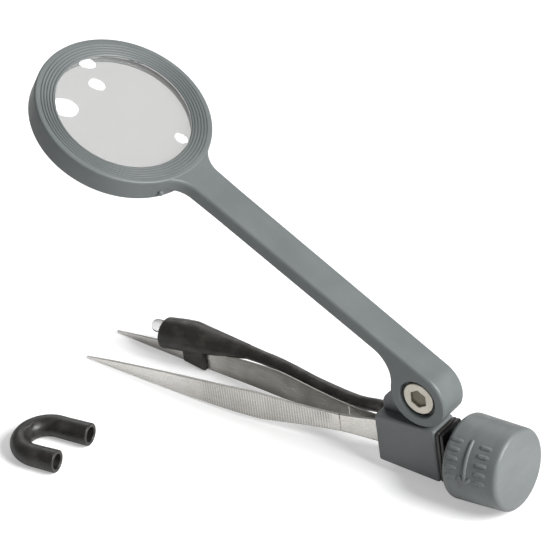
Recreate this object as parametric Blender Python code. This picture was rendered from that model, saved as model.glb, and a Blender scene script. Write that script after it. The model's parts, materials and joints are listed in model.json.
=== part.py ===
"""Stamp tongs with a swing-over magnifier, a blade light and a battery cap.

Tongs frame: X runs along the tongs (tips at -X, battery cap at +X), Y across the
blades and Z up. Its origin is on the battery cap's axis, below the magnifier pivot.
The tongs frame is pitched so that the blade tips and the cap rim rest on one floor,
and the world origin is the centre of the housing's flat underside.
"""
import math

import bmesh
import bpy
from mathutils import Matrix, Vector

MM = 0.001
GAP = 0.3 * MM
OVERSHOOT = 1.0 * MM
SAME_STATION = 0.1 * MM

# housing
HOUSING_FRONT_X = -15.7 * MM
HOUSING_REAR_X = 3.5 * MM
HOUSING_HALF_WIDTH = 4.75 * MM
HOUSING_TOP_Z = 8.2 * MM
UNDERSIDE_MID_Z = -7.3 * MM
HOUSING_EDGE = 0.8 * MM

# magnifier hinge
PIVOT_X = -0.8 * MM
PIVOT_Z = 17.1 * MM
FORK_RADIUS = 8.5 * MM
FORK_HALF_WIDTH = 4.75 * MM
FORK_SLOT_HALF = 2.0 * MM
FORK_SLOT_RADIUS = 6.3 * MM
FORK_SLOT_REAR = math.radians(-11)
FORK_SLOT_FRONT = math.radians(-170)
TONGUE_RADIUS = 5.9 * MM
TONGUE_HALF_WIDTH = 1.1 * MM
TONGUE_REAR = math.radians(-75)
TONGUE_FRONT = math.radians(194)
TONGUE_FOOT_REAR = 2.3 * MM
TONGUE_FLARE = ((-8.4 * MM, -1.9 * MM), (-10.9 * MM, -2.8 * MM),
                (-13.2 * MM, -4.6 * MM), (-14.1 * MM, -6.4 * MM))
TONGUE_SUNK = 1.0 * MM
WASHER_THICKNESS = 0.3 * MM
WASHER_RADIUS = 5.2 * MM
SCREW_SHANK_RADIUS = 2.0 * MM
SCREW_HEAD_RADIUS = 4.7 * MM
SCREW_HEAD_HEIGHT = 1.0 * MM
SCREW_SINK = 0.6 * MM
SCREW_EDGE = 0.25 * MM
RECESS_RADIUS = 5.5 * MM
HEX_ACROSS_FLATS = 4.6 * MM
HEX_DEPTH = 0.7 * MM
NUT_CORNER_RADIUS = 4.1 * MM
BUSH_WALL = 0.7 * MM

# magnifier
ARM_ANGLE = math.radians(31.0)
ARM_LENGTH = 109.5 * MM
ARM_THICKNESS = 4.5 * MM
ARM_CORNER = 1.0 * MM
FORK_FILLET = 9.5 * MM
ARM_HALF_WIDTH_ROOT = 4.75 * MM
ARM_HALF_WIDTH_RING = 5.3 * MM
RING_TOP = 8.7 * MM
RING_FILLET = 7.5 * MM
RING_RADIUS = 24.7 * MM
RING_THICKNESS = 6.9 * MM
RING_FACE = 23.2 * MM
RING_APERTURE = 19.05 * MM
RING_BORE = 20.8 * MM
RING_CHAMFER = 0.6 * MM
RING_OVERLAP = 0.05 * MM
RING_LIP_DEPTH = 1.0 * MM
RING_FALL = 0.4 * MM
RING_GROOVES = 5
RING_GROOVE_DEPTH = 0.3 * MM
LENS_RADIUS = 20.5 * MM
LENS_EDGE = 3.3 * MM
LENS_STEP = 0.7 * MM
LENS_RISE = 0.9 * MM
LENS_BULGE = 1.9 * MM
RETAINER_HEIGHT = 1.5 * MM
RETAINER_WIDTH = 1.1 * MM

# blades
TIP_X = -111.8 * MM
BELLY_X = -54.0 * MM
WAIST_X = -29.0 * MM
BLADE_THICKNESS = 0.7 * MM
BLADE_TIP_SHARE = 0.55
TAPER_LENGTH = 9.0 * MM
BLADE_SPREAD = 6.6 * MM
BLADE_SPLAY = 0.012
ROOT_SPREAD = 1.25 * MM
SPREAD_SLOPE = 0.132
SPREAD_START_X = -18.0 * MM
SPREAD_ROUNDING = 0.5 * MM
TIP_HEIGHT = 0.7 * MM
BELLY_HEIGHT = 8.7 * MM
BELLY_POWER = 1.4
WAIST_HEIGHT = 5.6 * MM
WAIST_POWER = 1.2
MOUTH_HEIGHT = 7.3 * MM
ROOT_END_X = -1.5 * MM
SPACER_INSET = 1.0 * MM
PIN_RADIUS = 0.8 * MM
PIN_REACH = 1.1 * MM
PIN_X = (-11.0 * MM, -5.0 * MM)

# light
POD_FRONT_X = -93.8 * MM
POD_REAR_X = -67.0 * MM
POD_SWELL_SHARE = 0.35
POD_FRONT_RADIUS = 4.45 * MM
POD_SWELL_RADIUS = 4.55 * MM
POD_REAR_RADIUS = 2.1 * MM
POD_RIM = 0.3 * MM
POD_FRONT_Y = 6.95 * MM
POD_REAR_Y = 8.75 * MM
POD_FRONT_Z = 4.75 * MM
POD_SWELL_Z = 5.5 * MM
POD_REAR_Z = 5.0 * MM
CLIP_FRONT_X = -87.5 * MM
CLIP_REAR_X = -80.0 * MM
CLIP_WALL = 1.1 * MM
CLIP_TOP_Z = 5.5 * MM
CLIP_FRONT_DROP = 1.6 * MM
CLIP_REAR_DROP = 3.0 * MM
CLIP_FLAT = 1.0 * MM
CLIP_EDGE = 0.4 * MM
BULB_RADIUS = 1.9 * MM
BULB_Z = 6.3 * MM
BULB_REACH = 4.6 * MM
BULB_SEAT_DEPTH = 6.5 * MM
SLEEVE_RADIUS = 1.85 * MM
SLEEVE_FRONT_X = -66.7 * MM
SLEEVE_REAR_X = -10.5 * MM
LEAD_RADIUS = 0.6 * MM
LEAD_HOLE_Y = 2.2 * MM
LEAD_HOLE_Z = 5.6 * MM
LEAD_REAR_X = 9.4 * MM
CHAMBER_FRONT_X = -0.1 * MM
SLEEVE_KNOTS = ((SLEEVE_FRONT_X, 8.85 * MM, 4.95 * MM), (-56 * MM, 8.5 * MM, 4.0 * MM),
                (-43 * MM, 7.2 * MM, 2.4 * MM), (-29 * MM, 5.2 * MM, 2.4 * MM),
                (-20 * MM, 3.45 * MM, 4.5 * MM), (-15.7 * MM, LEAD_HOLE_Y, LEAD_HOLE_Z),
                (SLEEVE_REAR_X, LEAD_HOLE_Y, LEAD_HOLE_Z))
LEAD_KNOTS = ((SLEEVE_REAR_X + GAP, LEAD_HOLE_Y, LEAD_HOLE_Z), (0, LEAD_HOLE_Y, LEAD_HOLE_Z),
              (1.7 * MM, 1.5 * MM, 3.0 * MM), (3.2 * MM, 0, 0), (LEAD_REAR_X, 0, 0))

# battery end
GASKET_THICKNESS = 0.9 * MM
GASKET_INSET = 0.25 * MM
NECK_PLATE_THICKNESS = 1.0 * MM
NECK_RADIUS = 5.0 * MM
CAP_FRONT_X = 9.2 * MM
CAP_REAR_X = 26.3 * MM
CAP_FRONT_RADIUS = 11.7 * MM
CAP_REAR_RADIUS = 11.4 * MM
CAP_FRONT_EDGE = 1.6 * MM
CAP_REAR_EDGE = 1.3 * MM
CAP_BORE = 9.9 * MM
CAP_END_WALL = 1.5 * MM
SEAT_RADIUS = 9.5 * MM
SEAT_THICKNESS = 1.8 * MM
CELL_RADIUS = 5.8 * MM
CELL_THICKNESS = 3.05 * MM
CELL_EDGE = 0.3 * MM
CELL_COUNT = 3
CELL_SLEEVE_WALL = 1.1 * MM
SPRING_RADIUS = 3.4 * MM
SPRING_WIRE = 0.25 * MM
SPRING_TURNS = 1.5
PLATE_RADIUS = 4.6 * MM
PLATE_THICKNESS = 0.4 * MM

# tip guard, on the floor beside the tips
GUARD_BEND_RADIUS = 2.9 * MM
GUARD_ARM_RADIUS = 3.1 * MM
GUARD_END_RADIUS = 3.2 * MM
GUARD_SPACING = 6.95 * MM
GUARD_NEAR_ARM = 7.2 * MM
GUARD_FAR_ARM = 9.8 * MM
GUARD_SOCKET_RADIUS = 2.1 * MM
GUARD_SOCKET_DEPTH = 4.5 * MM
GUARD_YAW = math.radians(9)
GUARD_OFFSET = Vector((16.2, -46.1, 0.0)) * MM


def smooth_min(a, b, rounding):
    """The lesser of a and b, with the corner between them rounded."""
    spread = math.sqrt((a - b) ** 2 + 4 * rounding ** 2)
    return (a + b - spread) / 2


def blade_outer(x):
    """Distance of a blade's outer face from the middle plane."""
    opening = ROOT_SPREAD + SPREAD_SLOPE * max(0.0, SPREAD_START_X - x)
    return smooth_min(opening, BLADE_SPREAD + BLADE_SPLAY * (BELLY_X - x), SPREAD_ROUNDING)


def blade_height(x):
    """Full height of a blade, from its fine tip over the belly to the waist and mouth."""
    if x < BELLY_X:
        t = (x - TIP_X) / (BELLY_X - TIP_X)
        return TIP_HEIGHT + (BELLY_HEIGHT - TIP_HEIGHT) * (1 - (1 - max(0.0, t)) ** BELLY_POWER)
    if x < WAIST_X:
        t = (x - BELLY_X) / (WAIST_X - BELLY_X)
        drop = math.sin(t * math.pi / 2) ** WAIST_POWER
        return BELLY_HEIGHT + (WAIST_HEIGHT - BELLY_HEIGHT) * drop
    t = min(1.0, (x - WAIST_X) / (HOUSING_FRONT_X - WAIST_X))
    return WAIST_HEIGHT + (MOUTH_HEIGHT - WAIST_HEIGHT) * t * t * (3 - 2 * t)


def cap_rim_centre():
    """Lowest point of the circle that the cap's rounded front edge is drawn about."""
    return Vector((CAP_FRONT_X + CAP_FRONT_EDGE, 0, CAP_FRONT_EDGE - CAP_FRONT_RADIUS))


def floor_pitch():
    """Pitch at which the lowest points of the blades and of the cap are level."""
    rim = cap_rim_centre()
    stations = [TIP_X + (BELLY_X - TIP_X) * i / 200 for i in range(201)]
    edge = [Vector((x, 0, -blade_height(x) / 2)) for x in stations]
    low, high = 0.0, math.radians(12)
    for _ in range(40):
        pitch = (low + high) / 2
        up = Vector((math.sin(pitch), 0, math.cos(pitch)))
        blade_low = min(point.dot(up) for point in edge)
        cap_low = rim.dot(up) - CAP_FRONT_EDGE
        if blade_low > cap_low:
            low = pitch
        else:
            high = pitch
    return pitch


def clear_scene():
    for item in list(bpy.data.objects):
        bpy.data.objects.remove(item, do_unlink=True)


def make_material(name, colour, roughness, metallic=0.0, alpha=1.0):
    material = bpy.data.materials.new(name)
    material.use_nodes = True
    shader = material.node_tree.nodes["Principled BSDF"]
    shader.inputs["Base Color"].default_value = (*colour, 1.0)
    shader.inputs["Roughness"].default_value = roughness
    shader.inputs["Metallic"].default_value = metallic
    shader.inputs["Alpha"].default_value = alpha
    material.diffuse_color = (*colour, alpha)
    return material


def new_object(name, mesh_data, material, body, smooth_angle=None):
    """Link a mesh drawn about the body's origin, and hang it on the body's empty."""
    bmesh.ops.recalc_face_normals(mesh_data, faces=mesh_data.faces)
    mesh = bpy.data.meshes.new(name)
    mesh_data.to_mesh(mesh)
    mesh_data.free()
    if smooth_angle:
        mesh.shade_smooth()
        mesh.set_sharp_from_angle(angle=math.radians(smooth_angle))
    item = bpy.data.objects.new(name, mesh)
    bpy.context.collection.objects.link(item)
    if material:
        mesh.materials.append(material)
    item.parent = body
    return item


def new_empty(name, parent, location=(0, 0, 0), rotation=(0, 0, 0)):
    item = bpy.data.objects.new(name, None)
    item.empty_display_size = 5 * MM
    bpy.context.collection.objects.link(item)
    item.parent = parent
    item.location = location
    item.rotation_euler = rotation
    return item


def combine(target, tool_mesh, operation):
    """Cut the mesh from the target, or join it on, with a live Boolean modifier."""
    number = len(target.modifiers) + 1
    tool = new_object(f"{target.name}_tool_{number}", tool_mesh, None, target.parent)
    tool.hide_render = True
    tool.display_type = "WIRE"
    modifier = target.modifiers.new(f"{operation.lower()}_{number}", "BOOLEAN")
    modifier.operation = operation
    modifier.object = tool
    modifier.solver = "EXACT"


def box(low, high, bevel=0.0, segments=2):
    mesh = bmesh.new()
    bmesh.ops.create_cube(mesh, size=1.0)
    low = Vector(low)
    high = Vector(high)
    for vert in mesh.verts:
        vert.co = [a + (c + 0.5) * (b - a) for a, b, c in zip(low, high, vert.co)]
    if bevel:
        bmesh.ops.bevel(mesh, geom=mesh.edges[:], offset=bevel, segments=segments,
                        profile=0.5, affect="EDGES")
    return mesh


def loft(sections):
    """Skin equal rings of points and close both ends."""
    mesh = bmesh.new()
    rings = [[mesh.verts.new(point) for point in section] for section in sections]
    count = len(rings[0])
    for ring, following in zip(rings, rings[1:]):
        for i in range(count):
            j = (i + 1) % count
            mesh.faces.new((ring[i], ring[j], following[j], following[i]))
    mesh.faces.new(rings[0])
    mesh.faces.new(list(reversed(rings[-1])))
    return mesh


def prism(outline, half_width, bevel=0.0):
    """Extrude an outline of (x, z) points across Y."""
    mesh = loft([[(x, y, z) for x, z in outline] for y in (-half_width, half_width)])
    if bevel:
        bmesh.ops.bevel(mesh, geom=mesh.edges[:], offset=bevel, segments=3,
                        profile=0.5, affect="EDGES")
    return mesh


def turned(profile, axis, segments=48):
    """Revolve (radius, height) points about an axis; zero radius closes an end."""
    mesh = bmesh.new()
    rings = []
    for radius, height in profile:
        if radius == 0:
            rings.append([mesh.verts.new((0, 0, height))])
            continue
        angles = [2 * math.pi * i / segments for i in range(segments)]
        rings.append([mesh.verts.new((radius * math.cos(a), radius * math.sin(a), height))
                      for a in angles])
    pairs = list(zip(rings, rings[1:]))
    if len(rings[0]) > 1 or len(rings[-1]) > 1:
        pairs.append((rings[-1], rings[0]))
    for first, second in pairs:
        for i in range(segments):
            j = (i + 1) % segments
            corners = [first[i % len(first)], first[j % len(first)],
                       second[j % len(second)], second[i % len(second)]]
            face = list(dict.fromkeys(corners))
            if len(face) > 2:
                mesh.faces.new(face)
    turn = {"X": Matrix.Rotation(math.pi / 2, 4, "Y"),
            "Y": Matrix.Rotation(-math.pi / 2, 4, "X"),
            "Z": Matrix.Identity(4)}[axis]
    mesh.transform(turn)
    return mesh


def rod(radius, start, end, axis, at=(0, 0, 0), segments=32):
    """Solid cylinder from start to end along an axis through a point."""
    mesh = turned([(0, start), (radius, start), (radius, end), (0, end)], axis, segments)
    mesh.transform(Matrix.Translation(at))
    return mesh


def tube(inner, outer, start, end, axis, segments=48):
    profile = [(inner, start), (outer, start), (outer, end), (inner, end)]
    return turned(profile, axis, segments)


def swept(points, radii, sides=12):
    """Round rod along a path of points, with a radius at each point."""
    sections = []
    last = len(points) - 1
    for i, (point, radius) in enumerate(zip(points, radii)):
        forward = (points[min(i + 1, last)] - points[max(i - 1, 0)]).normalized()
        side = forward.cross(Vector((0, 0, 1)))
        if side.length < 0.1:
            side = forward.cross(Vector((0, 1, 0)))
        side.normalize()
        up = side.cross(forward)
        ring = []
        for k in range(sides):
            angle = 2 * math.pi * k / sides
            ring.append(point + radius * (side * math.cos(angle) + up * math.sin(angle)))
        sections.append(ring)
    return loft(sections)


def curve_through(knots, steps):
    """Catmull-Rom points through a few knots."""
    knots = [Vector(knot) for knot in knots]
    padded = [2 * knots[0] - knots[1]] + knots + [2 * knots[-1] - knots[-2]]
    points = []
    for a, b, c, d in zip(padded, padded[1:], padded[2:], padded[3:]):
        for i in range(steps):
            t = i / steps
            points.append(0.5 * (2 * b + (c - a) * t + (2 * a - 5 * b + 4 * c - d) * t ** 2
                                 + (3 * b - a - 3 * c + d) * t ** 3))
    points.append(knots[-1])
    return points


def shifted(mesh, offset):
    mesh.transform(Matrix.Translation(offset))
    return mesh


# ---------------------------------------------------------------- tongs body

def underside(x, pitch):
    """Height of the housing's underside, level with the floor at rest."""
    middle = (HOUSING_FRONT_X + HOUSING_REAR_X) / 2
    return UNDERSIDE_MID_Z - (x - middle) * math.tan(pitch)


def tongue_outline():
    """Side outline of the hinge tongue: a round boss on a foot that flares forward."""
    outline = []
    for i in range(23):
        angle = TONGUE_REAR + (TONGUE_FRONT - TONGUE_REAR) * i / 22
        outline.append((PIVOT_X + TONGUE_RADIUS * math.cos(angle),
                        PIVOT_Z + TONGUE_RADIUS * math.sin(angle)))
    outline += [(PIVOT_X + x, PIVOT_Z + z) for x, z in TONGUE_FLARE]
    front = HOUSING_FRONT_X + HOUSING_EDGE
    rear = PIVOT_X + TONGUE_FOOT_REAR
    outline += [(front, HOUSING_TOP_Z), (front, HOUSING_TOP_Z - TONGUE_SUNK),
                (rear, HOUSING_TOP_Z - TONGUE_SUNK), (rear, HOUSING_TOP_Z)]
    return outline


def fork_slot_outline():
    """Side outline of the slot in the fork: a round pocket, open underneath."""
    pocket = []
    for i in range(19):
        angle = FORK_SLOT_REAR + (FORK_SLOT_FRONT + 2 * math.pi - FORK_SLOT_REAR) * i / 18
        pocket.append((FORK_SLOT_RADIUS * math.cos(angle), FORK_SLOT_RADIUS * math.sin(angle)))
    outside = 2 * FORK_RADIUS
    opening = []
    for i in range(5):
        angle = FORK_SLOT_FRONT + (FORK_SLOT_REAR - FORK_SLOT_FRONT) * i / 4
        opening.append((outside * math.cos(angle), outside * math.sin(angle)))
    return pocket + opening


def build_housing(body, material, pitch):
    outline = [(HOUSING_FRONT_X, underside(HOUSING_FRONT_X, pitch)),
               (HOUSING_FRONT_X, HOUSING_TOP_Z),
               (HOUSING_REAR_X, HOUSING_TOP_Z),
               (HOUSING_REAR_X, underside(HOUSING_REAR_X, pitch))]
    block = prism(outline, HOUSING_HALF_WIDTH, HOUSING_EDGE)
    housing = new_object("housing_body", block, material, body, 25)
    combine(housing, prism(tongue_outline(), TONGUE_HALF_WIDTH), "UNION")
    bush_hole = SCREW_SHANK_RADIUS + 2 * GAP + BUSH_WALL
    across = 2 * TONGUE_HALF_WIDTH
    combine(housing, rod(bush_hole, -across, across, "Y",
                         (PIVOT_X, 0, PIVOT_Z)), "DIFFERENCE")
    slot = ROOT_SPREAD + GAP
    slot_height = MOUTH_HEIGHT / 2 + GAP
    combine(housing, box((HOUSING_FRONT_X - OVERSHOOT, -slot, -slot_height),
                         (ROOT_END_X + GAP, slot, slot_height)), "DIFFERENCE")
    for x in PIN_X:
        pocket = ROOT_SPREAD + PIN_REACH + GAP
        combine(housing, rod(PIN_RADIUS + GAP, -pocket, pocket, "Y", (x, 0, 0), 24),
                "DIFFERENCE")
    lead = (0, LEAD_HOLE_Y, LEAD_HOLE_Z)
    combine(housing, rod(SLEEVE_RADIUS + GAP, HOUSING_FRONT_X - OVERSHOOT,
                         SLEEVE_REAR_X + GAP, "X", lead, 24), "DIFFERENCE")
    combine(housing, rod(LEAD_RADIUS + GAP, SLEEVE_REAR_X, CHAMBER_FRONT_X + OVERSHOOT,
                         "X", lead, 20), "DIFFERENCE")
    chamber_reach = LEAD_RADIUS + 3 * GAP
    combine(housing, box((CHAMBER_FRONT_X, -chamber_reach, -chamber_reach),
                         (HOUSING_REAR_X + OVERSHOOT, LEAD_HOLE_Y + chamber_reach,
                          LEAD_HOLE_Z + chamber_reach)), "DIFFERENCE")
    return housing


def blade_sections(start, end, steps, side, clearance=0.0):
    """Thin upright rectangles along a blade; side is -1 for the near blade, 1 for the far."""
    sections = []
    for i in range(steps + 1):
        x = start + (end - start) * i / steps
        outer = blade_outer(x) + clearance
        share = BLADE_TIP_SHARE + (1 - BLADE_TIP_SHARE) * max(0.0, x - TIP_X) / TAPER_LENGTH
        inner = blade_outer(x) - BLADE_THICKNESS * min(1.0, share) - clearance
        half = blade_height(x) / 2 + clearance
        sections.append([(x, side * outer, -half), (x, side * outer, half),
                         (x, side * inner, half), (x, side * inner, -half)])
    return sections


def build_blades(fixed, near_body, far_body, steel):
    across = 2 * ROOT_SPREAD
    for name, side, body in (("near", -1, near_body), ("far", 1, far_body)):
        hinge = body.location
        blade = loft(blade_sections(TIP_X, WAIST_X - GAP / 2, 26, side))
        new_object(f"{name}_blade", shifted(blade, -hinge), steel, body, 25)
        root = loft(blade_sections(WAIST_X + GAP / 2, ROOT_END_X, 8, side))
        root = new_object(f"{name}_blade_root", root, steel, fixed, 25)
        for x in PIN_X:
            combine(root, rod(PIN_RADIUS + GAP, -across, across, "Y", (x, 0, 0), 24),
                    "DIFFERENCE")


def build_root_parts(body, steel, plastic):
    thickness = ROOT_SPREAD - BLADE_THICKNESS - GAP
    spacer = box((HOUSING_FRONT_X + SPACER_INSET, -thickness, -MOUTH_HEIGHT / 2 + GAP),
                 (ROOT_END_X, thickness, MOUTH_HEIGHT / 2 - GAP))
    spacer = new_object("blade_spacer", spacer, plastic, body)
    across = 2 * ROOT_SPREAD
    for x in PIN_X:
        combine(spacer, rod(PIN_RADIUS + GAP, -across, across, "Y", (x, 0, 0), 24),
                "DIFFERENCE")
    reach = ROOT_SPREAD + PIN_REACH
    for name, x in zip(("front", "rear"), PIN_X):
        pin = rod(PIN_RADIUS, -reach, reach, "Y", (x, 0, 0), 20)
        new_object(f"root_pin_{name}", pin, steel, body, 30)


# ---------------------------------------------------------------- magnifier

def rounded_section(x, half_width, low, high, corner):
    """Upright rounded rectangle across the arm at x."""
    corner = min(corner, 0.45 * (high - low))
    section = []
    corners = ((1, high, 0), (-1, high, 90), (-1, low, 180), (1, low, 270))
    for side, edge, first in corners:
        centre_y = side * (half_width - corner)
        centre_z = edge - corner if edge == high else edge + corner
        for k in range(3):
            angle = math.radians(first + 45 * k)
            section.append((x, centre_y + corner * math.cos(angle),
                            centre_z + corner * math.sin(angle)))
    return section


def ring_fillet_centre():
    """Centre of the fillet between the arm's side and the ring, seen from the ring's centre."""
    fillet_y = ARM_HALF_WIDTH_RING + RING_FILLET
    return math.sqrt((RING_RADIUS + RING_FILLET) ** 2 - fillet_y ** 2), fillet_y


def arm_half_width(reach):
    """Half width at a distance from the pivot, flaring into the ring with a fillet."""
    share = reach / ARM_LENGTH
    plain = ARM_HALF_WIDTH_ROOT + (ARM_HALF_WIDTH_RING - ARM_HALF_WIDTH_ROOT) * max(0.0, share)
    to_centre = ARM_LENGTH - reach
    fillet_x, fillet_y = ring_fillet_centre()
    if to_centre >= fillet_x:
        return plain
    return fillet_y - math.sqrt(RING_FILLET ** 2 - (fillet_x - to_centre) ** 2)


def fork_fillet_centre():
    """Centre of the fillet between the fork and the arm's underside, from the pivot."""
    below = FORK_RADIUS - ARM_THICKNESS - FORK_FILLET
    return math.sqrt((FORK_RADIUS + FORK_FILLET) ** 2 - below ** 2), below


def arm_underside(reach):
    """Height of the underside: the round fork, then a fillet up to the flat arm."""
    centre_x, centre_z = fork_fillet_centre()
    touch = centre_x * FORK_RADIUS / (FORK_RADIUS + FORK_FILLET)
    if reach < touch:
        return -math.sqrt(max(0.0, FORK_RADIUS ** 2 - reach ** 2))
    if reach < centre_x:
        return centre_z + math.sqrt(FORK_FILLET ** 2 - (centre_x - reach) ** 2)
    return FORK_RADIUS - ARM_THICKNESS


def arm_top(reach):
    """Height of the top: level, and round behind the pivot."""
    if reach > 0:
        return FORK_RADIUS
    return math.sqrt(FORK_RADIUS ** 2 - reach ** 2)


def arm_stations():
    """Distances from the pivot: close together where the outline turns."""
    round_end = (5, 13, 22, 32, 43, 55, 67, 79)
    stations = [-FORK_RADIUS * math.cos(math.radians(angle)) for angle in round_end]
    curve_end, _ = fork_fillet_centre()
    stations += [curve_end * i / 11 for i in range(12)]
    stations += [0.3 * ARM_LENGTH, 0.45 * ARM_LENGTH, 0.6 * ARM_LENGTH]
    fillet_x, _ = ring_fillet_centre()
    tangent_x = fillet_x * (RING_RADIUS - RING_OVERLAP) / (RING_RADIUS + RING_FILLET)
    stations += [ARM_LENGTH - fillet_x + (fillet_x - tangent_x) * i / 6 for i in range(7)]
    return stations


def ring_profile():
    """Outline of the lens ring, with a grooved face that falls slightly to the lens."""
    bottom = RING_TOP - RING_THICKNESS
    profile = [(RING_RADIUS, bottom + RING_CHAMFER), (RING_RADIUS, RING_TOP - RING_CHAMFER),
               (RING_RADIUS - RING_CHAMFER, RING_TOP)]
    tread = (RING_FACE - RING_APERTURE) / RING_GROOVES
    for number in range(RING_GROOVES):
        radius = RING_FACE - number * tread
        height = RING_TOP - RING_FALL * number / RING_GROOVES
        profile += [(radius, height), (radius - 0.2 * tread, height - RING_GROOVE_DEPTH),
                    (radius - 0.4 * tread, height)]
    lip = RING_TOP - RING_LIP_DEPTH
    profile += [(RING_APERTURE, RING_TOP - RING_FALL), (RING_APERTURE, lip),
                (RING_BORE, lip), (RING_BORE, bottom), (RING_RADIUS - RING_CHAMFER, bottom)]
    return profile


def build_magnifier(body, plastic, glass, steel):
    sections = []
    for reach in arm_stations():
        sections.append(rounded_section(-reach, arm_half_width(reach), arm_underside(reach),
                                        arm_top(reach), ARM_CORNER))
    arm = new_object("magnifier_arm", loft(sections), plastic, body, 28)
    centre = Vector((-ARM_LENGTH, 0, 0))
    ring = shifted(turned(ring_profile(), "Z", 60), centre)
    combine(arm, ring, "UNION")
    combine(arm, prism(fork_slot_outline(), FORK_SLOT_HALF), "DIFFERENCE")
    wide = 2 * FORK_HALF_WIDTH
    head_outer = FORK_HALF_WIDTH - SCREW_SINK
    head_inner = head_outer - SCREW_HEAD_HEIGHT
    seat = head_inner - GAP
    hole = SCREW_SHANK_RADIUS + GAP
    screw_room = turned([(0, -wide), (RECESS_RADIUS, -wide), (RECESS_RADIUS, -seat),
                         (hole, -seat), (hole, seat), (RECESS_RADIUS, seat),
                         (RECESS_RADIUS, wide), (0, wide)], "Y", 40)
    screw_room.transform(Matrix.Rotation(math.pi / 40, 4, "Y"))
    combine(arm, screw_room, "DIFFERENCE")

    lens_top = RING_TOP - RING_LIP_DEPTH - GAP
    lens_bottom = lens_top - LENS_EDGE
    curve = [math.sin(math.radians(angle)) for angle in range(0, 91, 15)]
    dome = RING_APERTURE - GAP
    profile = [(dome * s, lens_top + LENS_STEP + LENS_RISE * (1 - s * s)) for s in curve]
    profile += [(dome, lens_top), (LENS_RADIUS, lens_top)]
    profile += [(LENS_RADIUS * s, lens_bottom - LENS_BULGE * (1 - s * s))
                for s in reversed(curve)]
    new_object("magnifier_lens", shifted(turned(profile, "Z", 60), centre), glass, body, 40)

    holder_inner = RING_BORE - GAP - RETAINER_WIDTH
    bulge_there = LENS_BULGE * (1 - (holder_inner / LENS_RADIUS) ** 2)
    holder_top = lens_bottom - bulge_there - GAP
    holder = tube(holder_inner, RING_BORE - GAP, holder_top - RETAINER_HEIGHT, holder_top,
                  "Z", 60)
    new_object("lens_retaining_ring", shifted(holder, centre), plastic, body, 30)

    screw = turned([(0, -head_outer), (SCREW_HEAD_RADIUS - SCREW_EDGE, -head_outer),
                    (SCREW_HEAD_RADIUS, SCREW_EDGE - head_outer),
                    (SCREW_HEAD_RADIUS, -head_inner), (SCREW_SHANK_RADIUS, -head_inner),
                    (SCREW_SHANK_RADIUS, head_outer), (0, head_outer)], "Y", 40)
    screw = new_object("pivot_screw", screw, steel, body, 30)
    hex_corner = HEX_ACROSS_FLATS / 2 / math.cos(math.pi / 6)
    combine(screw, rod(hex_corner, -wide, HEX_DEPTH - head_outer, "Y", segments=6),
            "DIFFERENCE")
    nut = turned([(hole, head_inner), (NUT_CORNER_RADIUS, head_inner),
                  (NUT_CORNER_RADIUS, head_outer), (hole, head_outer)], "Y", 6)
    new_object("pivot_nut", nut, steel, body)


def build_hinge_parts(body, brass, plastic):
    at = Vector((PIVOT_X, 0, PIVOT_Z))
    bush = tube(SCREW_SHANK_RADIUS + GAP, SCREW_SHANK_RADIUS + GAP + BUSH_WALL,
                -TONGUE_HALF_WIDTH, TONGUE_HALF_WIDTH, "Y", 24)
    new_object("pivot_bush", shifted(bush, at), brass, body, 30)
    near = TONGUE_HALF_WIDTH + GAP
    for name, side in (("near", -1), ("far", 1)):
        start, end = sorted((side * near, side * (near + WASHER_THICKNESS)))
        washer = tube(SCREW_SHANK_RADIUS + GAP, WASHER_RADIUS, start, end, "Y", 28)
        new_object(f"friction_washer_{name}", shifted(washer, at), plastic, body, 30)


# ---------------------------------------------------------------- light

def pod_section(share, sides=20):
    """Round section of the lamp pod: full at the front, tapering to the lead."""
    swell = math.sin(min(1.0, share / POD_SWELL_SHARE) * math.pi / 2)
    taper = max(0.0, (share - POD_SWELL_SHARE) / (1 - POD_SWELL_SHARE))
    radius = (POD_FRONT_RADIUS + (POD_SWELL_RADIUS - POD_FRONT_RADIUS) * swell
              + (POD_REAR_RADIUS - POD_SWELL_RADIUS) * taper)
    if share == 0:
        radius -= POD_RIM
    x = POD_FRONT_X + (POD_REAR_X - POD_FRONT_X) * share
    centre_y = POD_FRONT_Y + (POD_REAR_Y - POD_FRONT_Y) * share
    centre_z = (POD_FRONT_Z + (POD_SWELL_Z - POD_FRONT_Z) * swell
                + (POD_REAR_Z - POD_SWELL_Z) * taper)
    ring = []
    for k in range(sides):
        angle = 2 * math.pi * k / sides
        ring.append((x, centre_y + radius * math.cos(angle), centre_z + radius * math.sin(angle)))
    return ring


def clip_outline():
    """Side outline of the pod's leg, which reaches lowest at the rear."""
    return [(CLIP_FRONT_X, -CLIP_FRONT_DROP), (CLIP_REAR_X - CLIP_FLAT, -CLIP_REAR_DROP),
            (CLIP_REAR_X, -CLIP_REAR_DROP), (CLIP_REAR_X, CLIP_TOP_Z), (CLIP_FRONT_X, CLIP_TOP_Z)]


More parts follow.
